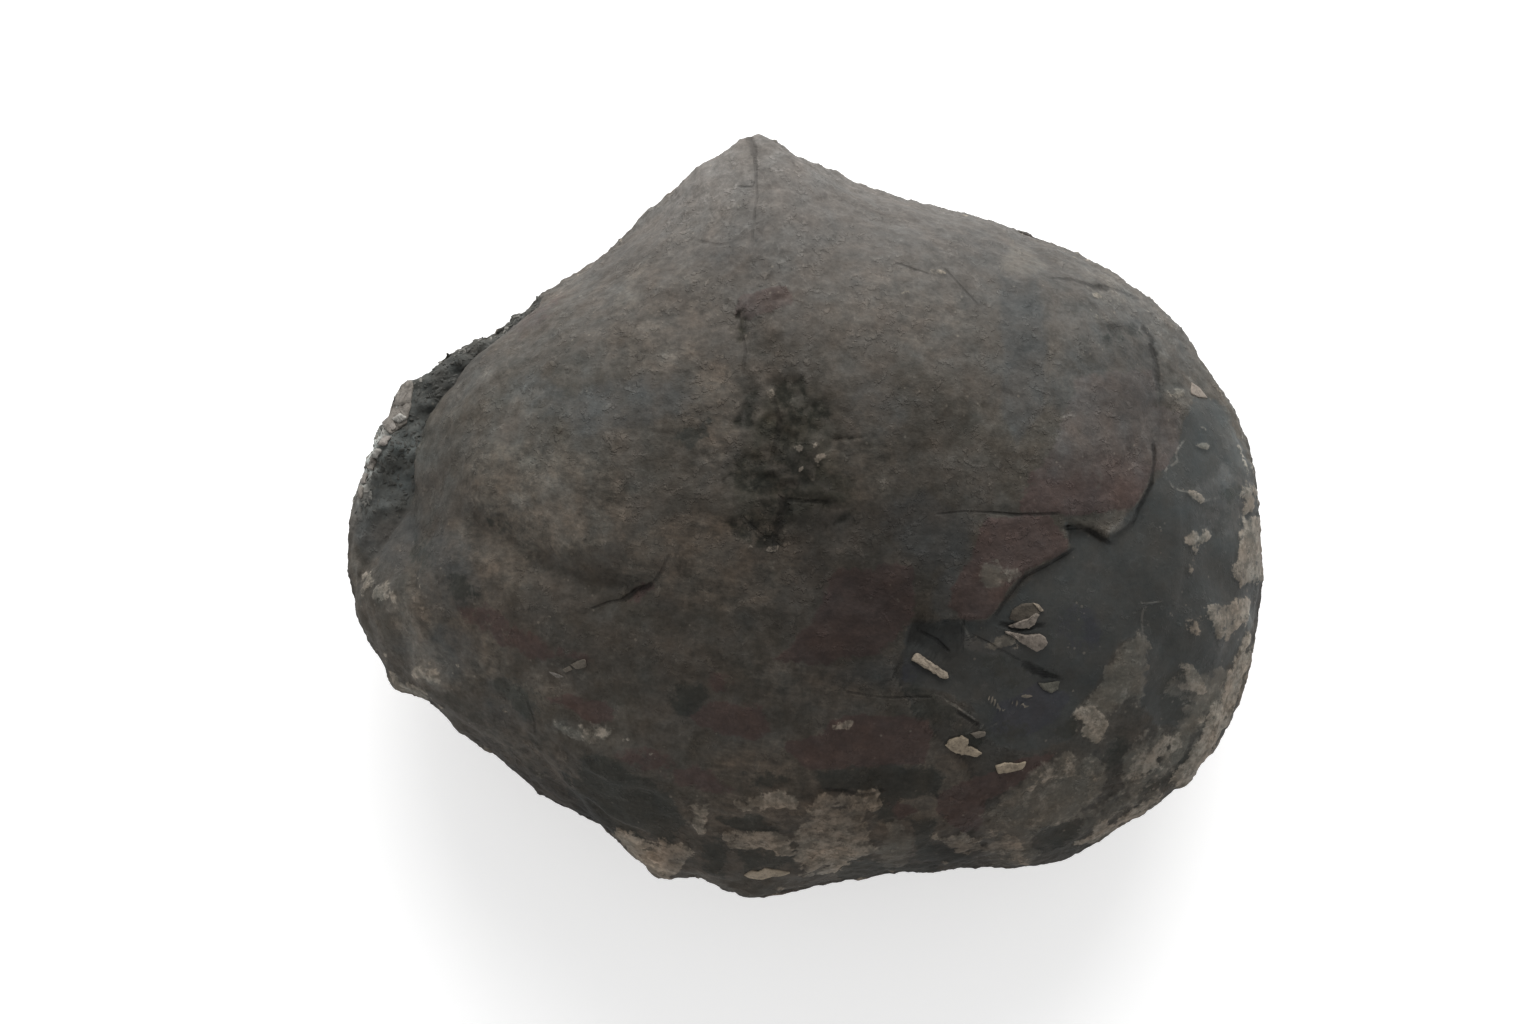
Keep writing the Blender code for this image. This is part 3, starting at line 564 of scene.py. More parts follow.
cracksAndShadowLines = [   # half width, darkness, line; the darkness is painted shade, in cracks and as shadow lines along the flake's edges and under chips
    (0.3, 0.6, [(-4.7, 32.5), (-4.5, 31.9), (-4.4, 31.3)]),
    (0.15, 0.5, [(-4.4, 31.3), (-4.3, 30.4), (-4.3, 29.4)]),
    (0.12, 0.35, [(-4.3, 29.4), (-4.2, 27.8), (-4.4, 26.2), (-4.6, 24.6)]),
    (0.1, 0.4, [(-5.4, 28.6), (-4.6, 28.6)]),
    (0.14, 0.25, [(-8.9, 23.8), (-7.5, 23.5), (-6.2, 23.7), (-5.6, 24.5), (-4.4, 25.3)]),
    (0.14, 0.35, [(-5.8, 18.2), (-5.6, 16), (-5.2, 14.2), (-5.4, 12.6)]),
    (0.45, 0.75, [(-1.8, 1.2), (-2.1, -0.3), (-2.6, -2.2)]),
    (0.2, 0.5, [(-1.7, 1.3), (-0.2, 1.2), (1.9, 1.1)]),
    (0.2, 0.5, [(-2.7, 9.9), (-2.2, 8.2), (-2.5, 6.4), (-3, 4.4)]),
    (0.14, 0.4, [(-5, -0.6), (-3.6, -1.9), (-2.4, -2.2)]),
    (0.1, 0.4, [(12.5, 21.1), (14.8, 18.7)]),
    (0.1, 0.5, [(8.3, 21.8), (10.4, 21.1)]),
    (0.14, 0.6, [(22, 20.6), (23.4, 20.5), (24.4, 20.2)]),
    (0.22, 0.8, [(24.4, 20.2), (25.6, 19.9), (26.7, 19.7)]),
    (0.12, 0.5, [(26.7, 19.7), (28.1, 19.3), (28.9, 18.9)]),
    (0.28, 0.9, [(30.4, 14.7), (30.8, 13.6), (30.9, 11.4)]),
    (0.5, 0.5, [(26.4, 16.3), (28.4, 16.2)]),
    (0.25, 0.8, [(29.9, 15.9), (30.4, 15.2)]),
    (0.12, 0.6, [(-18.2, -8), (-17.1, -7.6), (-15.8, -7.4)]),
    (0.22, 1.0, [(-15.8, -7.4), (-14.6, -6.5), (-13.4, -6.1)]),
    (0.13, 0.5, [(-13.4, -6.1), (-12.5, -4.9), (-12.1, -4)]),
    (0.1, 0.45, [(12.1, 0.1), (14, 0.3), (16.2, 0.2)]),
    (0.14, 0.85, [(16.2, 0.2), (18.6, 0), (21.6, 0.1)]),
    (0.2, 0.8, [(22.9, -1.1), (24, -1), (24.9, -1.3), (26.3, -2.2)]),
    (0.14, 0.55, [(23, -3.3), (21.3, -4.3), (19.2, -5.4), (17.9, -7), (17, -8.3)]),
    (0.2, 0.9, [(30.5, 5.6), (30.6, 4.6), (30.3, 2.7)]),
    (0.2, 0.8, [(30, 1.9), (29.2, 0.5), (28.9, -0.3)]),
    (0.16, 0.8, [(2.2, -23.9), (3.7, -24.1), (5.1, -24.4), (6.6, -24)]),
    (0.36, 1.0, [(19.6, -13.2), (20.3, -13.6), (21.1, -13.9)]),
    (0.2, 1.0, [(21.1, -13.9), (21.8, -14.1)]),
    (0.1, 0.55, [(15, -10.6), (16.2, -11.2), (17.3, -11.8), (18.5, -12.5)]),
    (0.25, 1.0, [(17.5, -9.6), (18.8, -9.9), (20.3, -9.7)]),
    (0.14, 0.6, [(13.9, -9.2), (13.8, -11.2)]),
    (0.14, 0.8, [(10.4, -10.3), (11.6, -10.9), (12.3, -11.6)]),
    (0.2, 1.0, [(13.7, -17.4), (14.8, -18.1)]),
    (0.12, 0.55, [(4, -15.5), (7.4, -16), (10.6, -15.9)]),
    (0.12, 0.5, [(-24.2, -16.5), (-23.6, -17.8), (-23.6, -18.6)]),
]
veins = [   # half width, paleness, line
    (0.13, 0.5, [(33.1, 6.3), (32.7, 5.8), (32.5, 5.3), (32.7, 4.7), (32.1, 4.3), (31.7, 4.1), (31.5, 3.4)]),
    (0.10, 0.4, [(31.5, 3.4), (31.9, 3), (32.2, 2.5), (32.9, 2.1), (33.6, 2), (34, 1.4)]),
    (0.14, 0.4, [(34, 1.4), (34.9, 1.2), (35.7, 1.4)]),
    (0.13, 0.6, [(12, -16), (13.1, -16.6), (14.1, -17.3), (15.4, -18.2)]),
    (0.12, 0.3, [(14.3, -19), (15.5, -18.9), (16.7, -18.3)]),
    (0.16, 0.3, [(13.9, -9.7), (14.5, -10.8)]),
    (0.12, 0.28, [(29.7, -8), (29.5, -9), (29.6, -10.6)]),
    (0.10, 0.4, [(29.9, -7.7), (30.7, -7.6)]),
    (0.14, 0.35, [(23, 8.6), (24.2, 8.8)]),
    (0.12, 0.2, [(-29.2, -6), (-29.1, -6.8)]),
    (0.14, 0.16, [(-8.9, 24.2), (-7.5, 24.1), (-6.1, 24.4), (-5.4, 25)]),
    (0.12, 0.16, [(-2.4, 22.3), (-1.3, 23.5)]),
    (0.12, 0.16, [(-0.8, 22.4), (0.2, 23.5)]),
]
raggedness = {"maroon": 0.8, "tan": 1, "drab": 1, "dark": 1.6}   # how far an outline's edge wanders
bulges = (2.6, 1.0)      # the spots' unevenness: its size and its reach
softestEdge = 1.1
strayNames = ("maroon", "tan", "drab", "dark")   # these also lie on the underside
strayGround, strayLumps = 0.34, [(5.0, 0.9), (1.8, 0.45)]   # their cover there; size, height
coverNames = (*strayNames, "brown", "cool", "pit", "bloom", "crumpled")
broadTonesAndShading = [   # x, y, half length, half width, turn, how much paler or darker: partly the stone's own tone, partly painted light and painted shade
    # the beak and the crown
    (-3, 31, 8, 3, 0, 0.1), (-3.5, 31.5, 4, 1.6, 0, -0.12), (-8, 28, 2.5, 5, -35, 0.4),
    (-10, 25, 3, 2, 0, 0.12), (-7, 27, 1.8, 1.4, 0, 0.17), (-5, 24.5, 6, 2.5, 0, 0.1),
    (-16.5, 23, 2.4, 0.9, 40, -0.2), (8, 20, 6, 3, 0, 0.08), (-21, 18.5, 3.5, 2.5, 35, 0.2),
    (-10.5, 18, 3, 2, 0, -0.16), (-6, 17.5, 3, 1.8, -40, 0.22), (-1, 13.5, 4, 2.5, 0, 0.14),
    (5, 14, 5, 5, 0, -0.12), (3.5, 16.5, 3, 2.4, 0, 0.1), (-8, 8.5, 2.6, 3, 0, -0.18),
    (-4.5, 7, 4.5, 4.5, 0, -0.14), (-3.5, 8.2, 0.9, 0.9, 0, 0.55), (2, 5, 0.9, 0.9, 0, 0.6),
    (-1.4, 4, 1.6, 1.4, 0, -0.25), (-1, 0.6, 3, 4, 0, -0.1), (3.5, 1.2, 1.2, 1, 0, 0.2),
    # the left lobe
    (-27, 7.5, 8, 4.5, 15, 0.22), (-17, 8, 5, 3, 0, 0.12), (-20.5, 12, 2.6, 2.2, 0, 0.14),
    (-20, 2, 9, 6, -15, 0.12), (-24.5, 3.5, 2.6, 2.2, 0, 0.16), (-19, 1.8, 3, 2, 0, -0.12),
    (-31, 10, 1.5, 4, -45, 0.2), (-26.5, 13.5, 2.4, 1.6, 30, 0.2), (-30, 12, 3.2, 1.2, 29, -0.6),
    (-28, 9.4, 1.4, 1, 0, 0.15), (-22, -1.8, 5, 2.4, -14, 0.36), (-27, -2.6, 4, 1.5, -20, 0.18),
    (-28.1, -2, 1.2, 1.3, 0, -0.4), (-25.5, -7, 2, 1.3, -10, 0.22), (-17, -4.2, 3, 1.6, -15, 0.12),
    # the left rim and the ledge
    (-37.5, -4, 3, 9, 0, 0.5), (-36.6, -3.8, 2.2, 3, 0, -0.5), (-37.1, -6.2, 1.3, 0.9, 0, -0.48),
    (-33, -1, 5, 1.4, 5, -0.2), (-34.5, -7.4, 3.5, 4.4, 0, 0.24), (-36.9, -9.8, 1, 1.2, 0, 0.22),
    (-37.9, 1.6, 0.7, 0.9, 0, -0.7), (-38, 5, 0.8, 2.2, -20, 1.55), (-35.9, 6, 1.6, 2.2, -20, 0.5),
    (-35.3, 7.1, 1, 0.9, 0, -0.75), (-35.8, 9.4, 1, 2, -30, 0.75), (-34.3, 5.4, 1.2, 1.6, 0, 0.55),
    # the lower left
    (-32, -13.4, 3.4, 1.8, -40, 0.42), (-28, -12, 4, 3, -30, 0.2), (-24.8, -15.7, 3, 1.7, -20, 0.65),
    (-27, -18, 1, 1, 0, -0.16), (-17, -18, 7, 2.6, -8, 0.3), (-15.9, -17, 1.4, 1, 0, 0.5),
    (-17, -19.7, 1.3, 0.8, 0, 0.7), (-18.4, -18.5, 1.4, 0.6, 0, -0.4), (-20.5, -19.4, 1.8, 1, 0, 0.22),
    (-16, -21, 2.2, 1, 0, 0.22), (-26, -21.8, 5, 0.8, -38, -0.5), (-23, -22.5, 4, 2, -38, -0.2),
    (-18, -26.9, 6, 1, -38, -0.65), (-15, -28.8, 1.9, 0.7, -42, 0.85), (-13.3, -30.4, 1.4, 0.8, -25, 0.85),
    (-11.2, -29.8, 1, 0.8, 0, -0.4),
    # the middle
    (2, -3, 9, 8, 0, -0.38), (7, -9, 6, 4, -10, -0.3), (3, -3, 2, 1.8, 0, 0.24),
    (-4.7, -3.5, 2.2, 3.6, 0, -0.22), (-12, -3, 2.2, 2.1, 0, -0.18), (-12, -7.5, 1.4, 1.1, 0, -0.3),
    (12, -4, 3.5, 3.5, 0, -0.2), (4.5, -14.6, 7, 2.2, -2, -0.3), (-10, -22, 6, 2.6, 0, 0.16),
    (-4.5, -21.4, 2.4, 0.7, 0, -0.16), (14, -9.3, 4.5, 0.7, -2, 0.26), (16.8, -11.3, 1.1, 0.5, 0, -0.25),
    (17, -6.5, 1.4, 0.8, 45, 0.3),
    # the right
    (7, 3, 3.5, 2.6, 0, 0.16), (17.5, 6, 5, 3.5, 0, 0.24), (21, 5, 7, 4, 20, 0.16),
    (24, 13.8, 2.2, 2.6, 0, 0.2), (18, 23, 6, 2, -15, -0.14), (30.5, 17, 5, 2, -45, 0.3),
    (25.5, 20, 1.2, 0.8, -30, -0.2), (26.4, 17, 0.8, 0.6, 0, 0.3), (29, 11, 4.5, 3.2, -15, -0.33),
    (33, 11.4, 0.6, 0.5, 0, -0.45), (33.8, 9.5, 0.9, 0.8, 0, 0.5), (28, 1.5, 2.4, 2.8, 0, 0.24),
    (26.5, -1.6, 2.4, 1.1, -4, 0.32), (23.2, -1, 1.4, 1, 0, 0.32), (31.5, -7.5, 4, 3, 0, -0.16),
    (33, -3, 1.6, 1.4, 0, -0.1), (29, -12, 1.6, 2, 0, -0.15), (36, -2.2, 1.2, 0.6, 0, 0.3),
    (36, 3, 1.6, 2, 0, 0.18), (37.4, 0.8, 0.8, 3.2, 0, 0.4), (37.9, 6.6, 1, 3.4, 20, 0.5),
    (38.8, 1.4, 0.6, 0.8, 0, -0.25), (39, -2.6, 1.1, 2.2, 0, 0.22), (38, -6, 1, 1.3, 0, -0.28),
    (39, -10.6, 1, 2.8, 0, 0.5), (39.1, -9.2, 0.6, 0.9, 0, 0.7), (37.2, -10.8, 1.3, 2, 0, 0.2),
    (36.6, -14.2, 1, 1.2, 0, -0.2), (32.9, -14.7, 0.8, 0.8, 0, -0.5), (35, -18, 2, 6, -25, 0.3),
    (27, -17.4, 1.6, 2.8, -20, 0.24), (29.6, -20.4, 1.2, 0.7, 0, -0.25),
    # the front
    (24.5, -19.6, 2, 1.5, 20, 0.36), (21.8, -21.8, 1.3, 0.8, 25, -0.3), (19, -25, 7, 3, 20, -0.18),
    (22, -25, 3, 2, 20, 0.2), (25.6, -27, 1.2, 0.8, 0, -0.25), (15, -28.5, 5, 1.5, 0, -0.42),
    (7, -23.5, 4, 1.6, 0, -0.2), (2.6, -25.3, 3, 1.4, 0, -0.36), (4.6, -27, 1, 1.5, 0, -0.3),
    (0, -27.7, 6, 1.3, 0, -0.3), (-6, -26.4, 5, 0.9, 5, 0.12), (-6.4, -28.6, 1, 0.7, 0, -0.35),
    (0, -31, 1.3, 0.6, 0, -0.32), (8.5, -26.6, 0.9, 0.7, 0, -0.3), (12, -28.9, 1.8, 0.6, -20, -0.16),
    (3.4, -31.6, 1.6, 0.7, 0, 0.3), (12.5, -30.4, 6.5, 1, 0, -0.36),
]
pitZones = [(-1, 7, 4, 5, 0, 1), (-3.6, 1.5, 3.4, 4, 0, 0.9), (1.5, 2.2, 4, 2, 0, 0.7)]
broadHues = [   # x, y, half length, half width, turn, how much warmer or cooler
    (24, 16, 12, 7, -25, -0.045), (21, 2, 8, 5, 0, -0.04), (-36, 6, 4, 7, -20, -0.06),
    (-22, 12, 8, 4, 20, -0.03), (2, -26, 14, 5, 0, 0.06), (20, -26, 8, 4, 25, 0.05),
    (-6, -1, 7, 5, 0, 0.03), (-1, 6, 4, 5, 0, 0.02), (13.5, -13.5, 5, 3.4, -20, 0.04),
    (36, 5, 4, 8, 0, -0.05), (-22, 6, 10, 6, 0, -0.05), (-35, -10, 4, 6, 0, -0.03),
    (-13, -29, 4, 2, -30, 0.08),
]


def clump(plan, size, reach):
    # the plan with its points pushed about, so that plain ellipses come out uneven
    steps = np.array([noise.noise_vector(Vector((x / size, y / size, 7.0))) for x, y in plan])
    return plan + reach * steps[:, :2]


def signedDistance(plan, outline):
    distance = lineDistance(plan, outline + outline[:1])
    return np.where(insideOutline(plan, outline), distance, -distance)


def cover(plan, name):
    # falls from each patch's cover inside it to nothing outside, past the half that the trees cut at
    found = np.zeros(len(plan))
    reach = raggedness.get(name, 0.7)
    for strength, outline in outlines.get(name, []):
        low, high = np.min(outline, axis=0) - reach, np.max(outline, axis=0) + reach
        near = np.flatnonzero(((plan > low) & (plan < high)).all(axis=1))
        rise = strength * smoothStep(-reach, reach, signedDistance(plan[near], outline))
        found[near] = np.maximum(found[near], rise)
    uneven = clump(plan, *bulges)
    for *place, strength in spots.get(name, []):
        halfWidth = min(place[2], place[3])
        soft = min(softestEdge, 0.9 * halfWidth)
        edge = (1.0 - ellipseShare(uneven, *place)) * halfWidth
        found = np.maximum(found, strength * smoothStep(-soft, soft, edge))
    return found


def strayCover(points, seed):
    # patches wherever they fall, for the side that no outline reaches
    moved = points + seed * 3.7
    return sum((lumps(moved, *row) for row in strayLumps), strayGround)


def lineFields(plan, lines):
    # the nearest line's distance, in half widths and with its side; how strong it is; how deep
    nearest, side = np.full(len(plan), np.inf), np.full(len(plan), awayFromEdge)
    strength, groove = np.zeros(len(plan)), np.zeros(len(plan))
    for halfWidth, dark, line in lines:
        for start, end in zip(line[:-1], line[1:]):
            span = np.subtract(end, start)
            share = np.clip((plan - start) @ span / (span @ span), 0.0, 1.0)
            distance = np.linalg.norm(plan - start - np.outer(share, span), axis=1)
            offset = plan - start
            across = (offset[:, 0] * span[1] - offset[:, 1] * span[0]) / np.hypot(*span)
            closer = distance < nearest
            nearest[closer] = distance[closer]
            side[closer] = np.clip(across[closer] / halfWidth, -awayFromEdge, awayFromEdge)
            strength[closer] = (dark * smoothStep(halfWidth + 0.5, halfWidth + 0.2, distance))[closer]
            groove = np.maximum(groove, dark * min(1.2, halfWidth / 0.3) * smoothStep(0.5, 0.0, distance))
    return side, strength, groove


def storeField(mesh, name, values):
    kind = "FLOAT" if values.ndim == 1 else "FLOAT_VECTOR"
    layer = mesh.attributes.new(name, kind, "POINT")
    layer.data.foreach_set("value" if kind == "FLOAT" else "vector", values.astype(np.float32).ravel())


def seenPlan(points):
    # where each point is seen on the level that fills the frame
    over = np.array(camera["over"])
    drawn = (eyeHeight - camera["levelSeen"]) / (eyeHeight - points[:, 2])
    return over + (points[:, :2] - over) * drawn[:, None]


fades = {   # the Y where a finish starts to show and where it is whole
    # the upper part's paler grey: partly dust, partly painted light
    "dustAndTopLight": (7, 35), "upward": (-1, 9),
    # the ledge's dark band: dark rock, and painted shade along the valve's wall
    "ledgeDarkAndShade": (-2, 4), "ledgeDarkAndShadeEnd": (20.5, 18.5), "ledgePale": (13, 8.5),
    "flakeDeep": (15.5, 6), "flakeWorn": (0, -12),
}
dustAndTopLightLean = 0.05          # how much further the dust and painted light reach to the right
growthScale = (14, 42)   # the growth lines' place: round the shell, and outward
undersideShift = 90      # so that the lower valve's growth lines are its own
awayFromEdge = 9.0       # the distance that is stored where an edge is far off


def storeFinishes(mesh, points, layout):
    # what the relief and the colours read, as attributes of the mesh
    share, angle, below = layout["share"], layout["angle"], layout["below"]
    seen, above = seenPlan(points), 1.0 - below
    around, outward = growthScale

    def fade(name, lean=0.0):
        return smoothStep(*fades[name], seen[:, 1] + lean * seen[:, 0])

    bared = insideOutline(seen, flakeEdge + baredCorners)
    fromFlake = lineDistance(seen, flakeEdge) * np.where(bared, 1.0, -1.0)
    fields = {
        "restPlace": points,
        "growthPlace": np.column_stack((
            np.cos(angle) * around, np.sin(angle) * around, share * outward + below * undersideShift,
        )),
        "flakeEdge": np.where(above > 0, fromFlake, -awayFromEdge),
        "flakeDeep": (fade("flakeDeep") * 0.9 + 0.1) * (1.0 - 0.5 * fade("flakeWorn")),
        "pitZone": swellings(seen, pitZones) * above,
        "ledgeShare": layout["onLedge"] * rockiness(points),
        "ledgeOutward": layout["ledgeOutward"],
        "ledgeDarkAndShade": fade("ledgeDarkAndShade") * fade("ledgeDarkAndShadeEnd"),
        "ledgePale": fade("ledgePale"),
        "outward": share,
        # paler upper part: partly dust, partly painted light
        "dustAndTopLight": fade("dustAndTopLight", dustAndTopLightLean) * above,
        "upward": fade("upward") * above,
        # broad lighter and darker places: partly the stone's own tone, partly painted light and painted
        # shade
        "toneAndShading": swellings(seen, broadTonesAndShading) * above,
        "warmth": swellings(seen, broadHues) * above,
    }
    for seed, name in enumerate(coverNames):
        fields[name + "Cover"] = cover(seen, name) * above
        if name in strayNames:
            fields[name + "Cover"][below > 0] = strayCover(points[below > 0], seed + 1)
    for name, outline in (("slate", slateOutline), ("socket", socketOutline)):
        distance = np.clip(signedDistance(seen, outline), -awayFromEdge, awayFromEdge)
        fields[name + "Edge"] = np.where(above > 0, distance, -awayFromEdge)
    for name, lines in (("vein", veins), ("crack", cracksAndShadowLines)):
        fields[name + "Side"], strength, groove = lineFields(seen, lines)
        fields[name + "Strength"] = strength * above
    fields["crackNear"] = groove * above   # of the two, only the cracks are cut in
    for name, values in fields.items():
        storeField(mesh, name, values)


class Wire:
    # one socket of a node tree; sums on it add their own Math nodes
    def __init__(self, bench, socket):
        self.bench, self.socket = bench, socket

    def sum(self, operation, *values):
        return self.bench.add("ShaderNodeMath", {"operation": operation}, dict(enumerate(values)))

    def __add__(self, other):
        return self.sum("ADD", self, other)

    __radd__ = __add__

    def __sub__(self, other):
        return self.sum("SUBTRACT", self, other)

    def __rsub__(self, other):
        return self.sum("SUBTRACT", other, self)

    def __mul__(self, other):
        return self.sum("MULTIPLY", self, other)

    __rmul__ = __mul__

    def __abs__(self):
        return self.sum("ABSOLUTE", self)

    def most(self, other):
        return self.sum("MAXIMUM", self, other)

    def decay(self):
        return self.sum("EXPONENT", self)

    def smooth(self, low, high, start=0.0, end=1.0):
        settings = {"interpolation_type": "SMOOTHSTEP"}
        inputs = {"Value": self, "From Min": low, "From Max": high, "To Min": start, "To Max": end}
        return self.bench.add("ShaderNodeMapRange", settings, inputs)


class Bench:
    # a node tree, and one method that makes any node in it
    def __init__(self, tree):
        self.tree = tree
        tree.nodes.clear()

    def add(self, kind, settings=None, inputs=None, output=None):
        node = self.tree.nodes.new(kind)
        for name, value in (settings or {}).items():
            setattr(node, name, value)
        for name, value in (inputs or {}).items():
            if isinstance(value, Wire):
                self.tree.links.new(value.socket, node.inputs[name])
            else:
                node.inputs[name].default_value = value
        if not node.outputs:
            return node
        if output is None:
            output = next(index for index, socket in enumerate(node.outputs) if socket.enabled)
        return Wire(self, node.outputs[output])

    def noise(self, place, size, seed, detail=3.0, roughness=0.55):
        # noise about 0, from -0.5 to 0.5; each seed reads another part of the pattern
        place = self.vectors("ADD", place, tuple(seed * size * step for step in (7.3, 3.1, 5.7)))
        inputs = {"Vector": place, "Scale": 1.0 / size, "Detail": detail, "Roughness": roughness}
        return self.add("ShaderNodeTexNoise", {}, inputs, 0) - 0.5

    def vectors(self, operation, first, second):
        return self.add("ShaderNodeVectorMath", {"operation": operation}, {0: first, 1: second})

    def cells(self, place, size, output="Distance"):
        return self.add("ShaderNodeTexVoronoi", {}, {"Vector": place, "Scale": 1.0 / size}, output)

    def warped(self, place, size, reach):
        # the place pushed about by noise, so that cells lose their straight sides
        push = self.add("ShaderNodeTexNoise", {}, {"Vector": place, "Scale": 1.0 / size}, "Color")
        push = self.vectors("SUBTRACT", push, (0.5, 0.5, 0.5))
        return self.vectors("ADD", place, self.shade(push, reach))

    def stretched(self, place, scale, turn):
        # the place turned about Z and scaled, for streaks
        turned = {"Vector": place, "Angle": math.radians(turn)}
        along = self.add("ShaderNodeVectorRotate", {"rotation_type": "Z_AXIS"}, turned)
        return self.vectors("MULTIPLY", along, scale)

    def blend(self, first, second, factor):
        # each colour is a wire, or a name from the stone's colours
        first, second = (
            (*stoneColours[paint], 1.0) if isinstance(paint, str) else paint for paint in (first, second)
        )
        return self.add("ShaderNodeMix", {"data_type": "RGBA"}, {0: factor, 6: first, 7: second}, 2)

    def shade(self, colour, amount):
        return self.add("ShaderNodeVectorMath", {"operation": "SCALE"}, {"Vector": colour, "Scale": amount})

    def field(self, name, vector=False):
        if self.tree.bl_idname == "GeometryNodeTree":
            settings = {"data_type": "FLOAT_VECTOR" if vector else "FLOAT"}
            return self.add("GeometryNodeInputNamedAttribute", settings, {"Name": name}, "Attribute")
        return self.add("ShaderNodeAttribute", {"attribute_name": name}, {}, "Vector" if vector else "Fac")


def finishMasks(bench):
    # where each finish shows, from 0 to 1: the same in the relief and in the colour
    place, lines = bench.field("restPlace", True), bench.field("growthPlace", True)
    rough = bench.noise(place, 1.7, 3.0, 4.0, 0.6)
    fine = bench.noise(place, 0.5, 5.0, 3.0, 0.65)
    streaks = bench.noise(lines, 1.9, 8.0, 4.0, 0.6)
    outward, bared = bench.field("outward"), bench.field("flakeEdge")
    rimward = outward.smooth(0.45, 0.95)
    ragged = streaks * 0.8 + rough * 0.9 + fine * 0.7
    crumbly = rough * 1.7 + fine * 0.35
    edge = rough * 0.9 + fine * 0.45

    def patchy(name, extra, softness, wander):
        covered = bench.field(name + "Cover") + extra + wander
        return covered.smooth(0.5 - softness, 0.5 + softness)

    return SimpleNamespace(
        place=place, lines=lines, rough=rough, fine=fine, streaks=streaks,
        rimward=rimward, outward=outward,
        maroon=patchy("maroon", rimward * 0.04, 0.13, ragged),
        drab=patchy("drab", 0.0, 0.18, crumbly),
        tan=patchy("tan", rimward * 0.10 + outward.smooth(0.9, 1.0) * 0.10, 0.08, crumbly),
        dark=patchy("dark", rimward * 0.08, 0.14, ragged),
        brown=(bench.field("brownCover") + ragged * 0.8).smooth(0.2, 0.8),
        cool=(bench.field("coolCover") + ragged * 0.7).smooth(0.2, 0.9),
        bloom=(bench.field("bloomCover") + ragged * 1.3).smooth(0.25, 1.05),
        pit=(bench.field("pitCover") + rough * 1.6 + fine * 0.8).smooth(0.25, 0.8),
        crumpled=bench.field("crumpledCover"),
        slate=(bench.field("slateEdge") + edge * 1.6).smooth(-0.15, 0.3),
        socket=(bench.field("socketEdge") + edge * 1.2).smooth(-0.2, 0.3),
        flaked=(bared + edge * 0.5).smooth(-0.06, 0.26),
        flakeFade=(bared.most(0.0) * (-1.0 / 11.0)).decay() * bench.field("flakeDeep"),
        # painted shade just under the flake's edge
        underFlakeShade=bared.smooth(0.0, 0.12) * bared.smooth(0.75, 0.15),
        ledge=bench.field("ledgeShare"),
        ledgeOutward=bench.field("ledgeOutward"),
        dustAndTopLight=bench.field("dustAndTopLight"), upward=bench.field("upward"),
    )


def geometryTree(name, sockets):
    # a tree with named inputs; gives back its bench and its inputs as wires
    tree = bpy.data.node_groups.new(name, "GeometryNodeTree")
    tree.interface.new_socket("Geometry", in_out="OUTPUT", socket_type="NodeSocketGeometry")
    tree.interface.new_socket("Geometry", in_out="INPUT", socket_type="NodeSocketGeometry")
    for socketName, (kind, _) in sockets.items():
        tree.interface.new_socket(socketName, in_out="INPUT", socket_type=kind)
    bench = Bench(tree)
    source = tree.nodes.new("NodeGroupInput")
    return bench, {socket.name: Wire(bench, socket) for socket in source.outputs if socket.name}


def finishTree(bench, geometry, finish):
    real = bench.add("GeometryNodeRealizeInstances", {}, {"Geometry": geometry})
    done = bench.add("GeometryNodeSetMaterial", {}, {"Geometry": real, "Material": finish})
    bench.add("NodeGroupOutput", {}, {"Geometry": done})


def runTree(owner, bench, sockets):
    # runs the tree on the owner's mesh and gives back the result as a plain mesh
    modifier = owner.modifiers.new("nodes", "NODES")
    modifier.node_group = bench.tree
    for item in bench.tree.interface.items_tree:
        if item.in_out == "INPUT" and item.name in sockets:
            modifier[item.identifier] = sockets[item.name][1]
    depsgraph = bpy.context.evaluated_depsgraph_get()
    evaluated = owner.evaluated_get(depsgraph)
    mesh = bpy.data.meshes.new_from_object(evaluated, preserve_all_data_layers=True, depsgraph=depsgraph)
    owner.modifiers.remove(modifier)
    return mesh


weathering = {   # heights and depths in millimetres
    "Coarse Height": ("NodeSocketFloat", 0.50),
    "Fine Height": ("NodeSocketFloat", 0.13),
    "Growth Height": ("NodeSocketFloat", 0.30),
    "Rim Wear": ("NodeSocketFloat", 0.9),
    "Crumple Height": ("NodeSocketFloat", 0.45),
    "Flake Depth": ("NodeSocketFloat", 0.80),
    "Slate Depth": ("NodeSocketFloat", 0.12),
    "Socket Depth": ("NodeSocketFloat", 0.30),
    "Crust Height": ("NodeSocketFloat", 0.14),
    "Plate Height": ("NodeSocketFloat", 0.10),
    "Maroon Height": ("NodeSocketFloat", 0.08),
    "Pit Depth": ("NodeSocketFloat", 0.22),
    "Crack Depth": ("NodeSocketFloat", 0.22),
    "Ledge Height": ("NodeSocketFloat", 0.42),
    "Finish": ("NodeSocketMaterial", None),
}


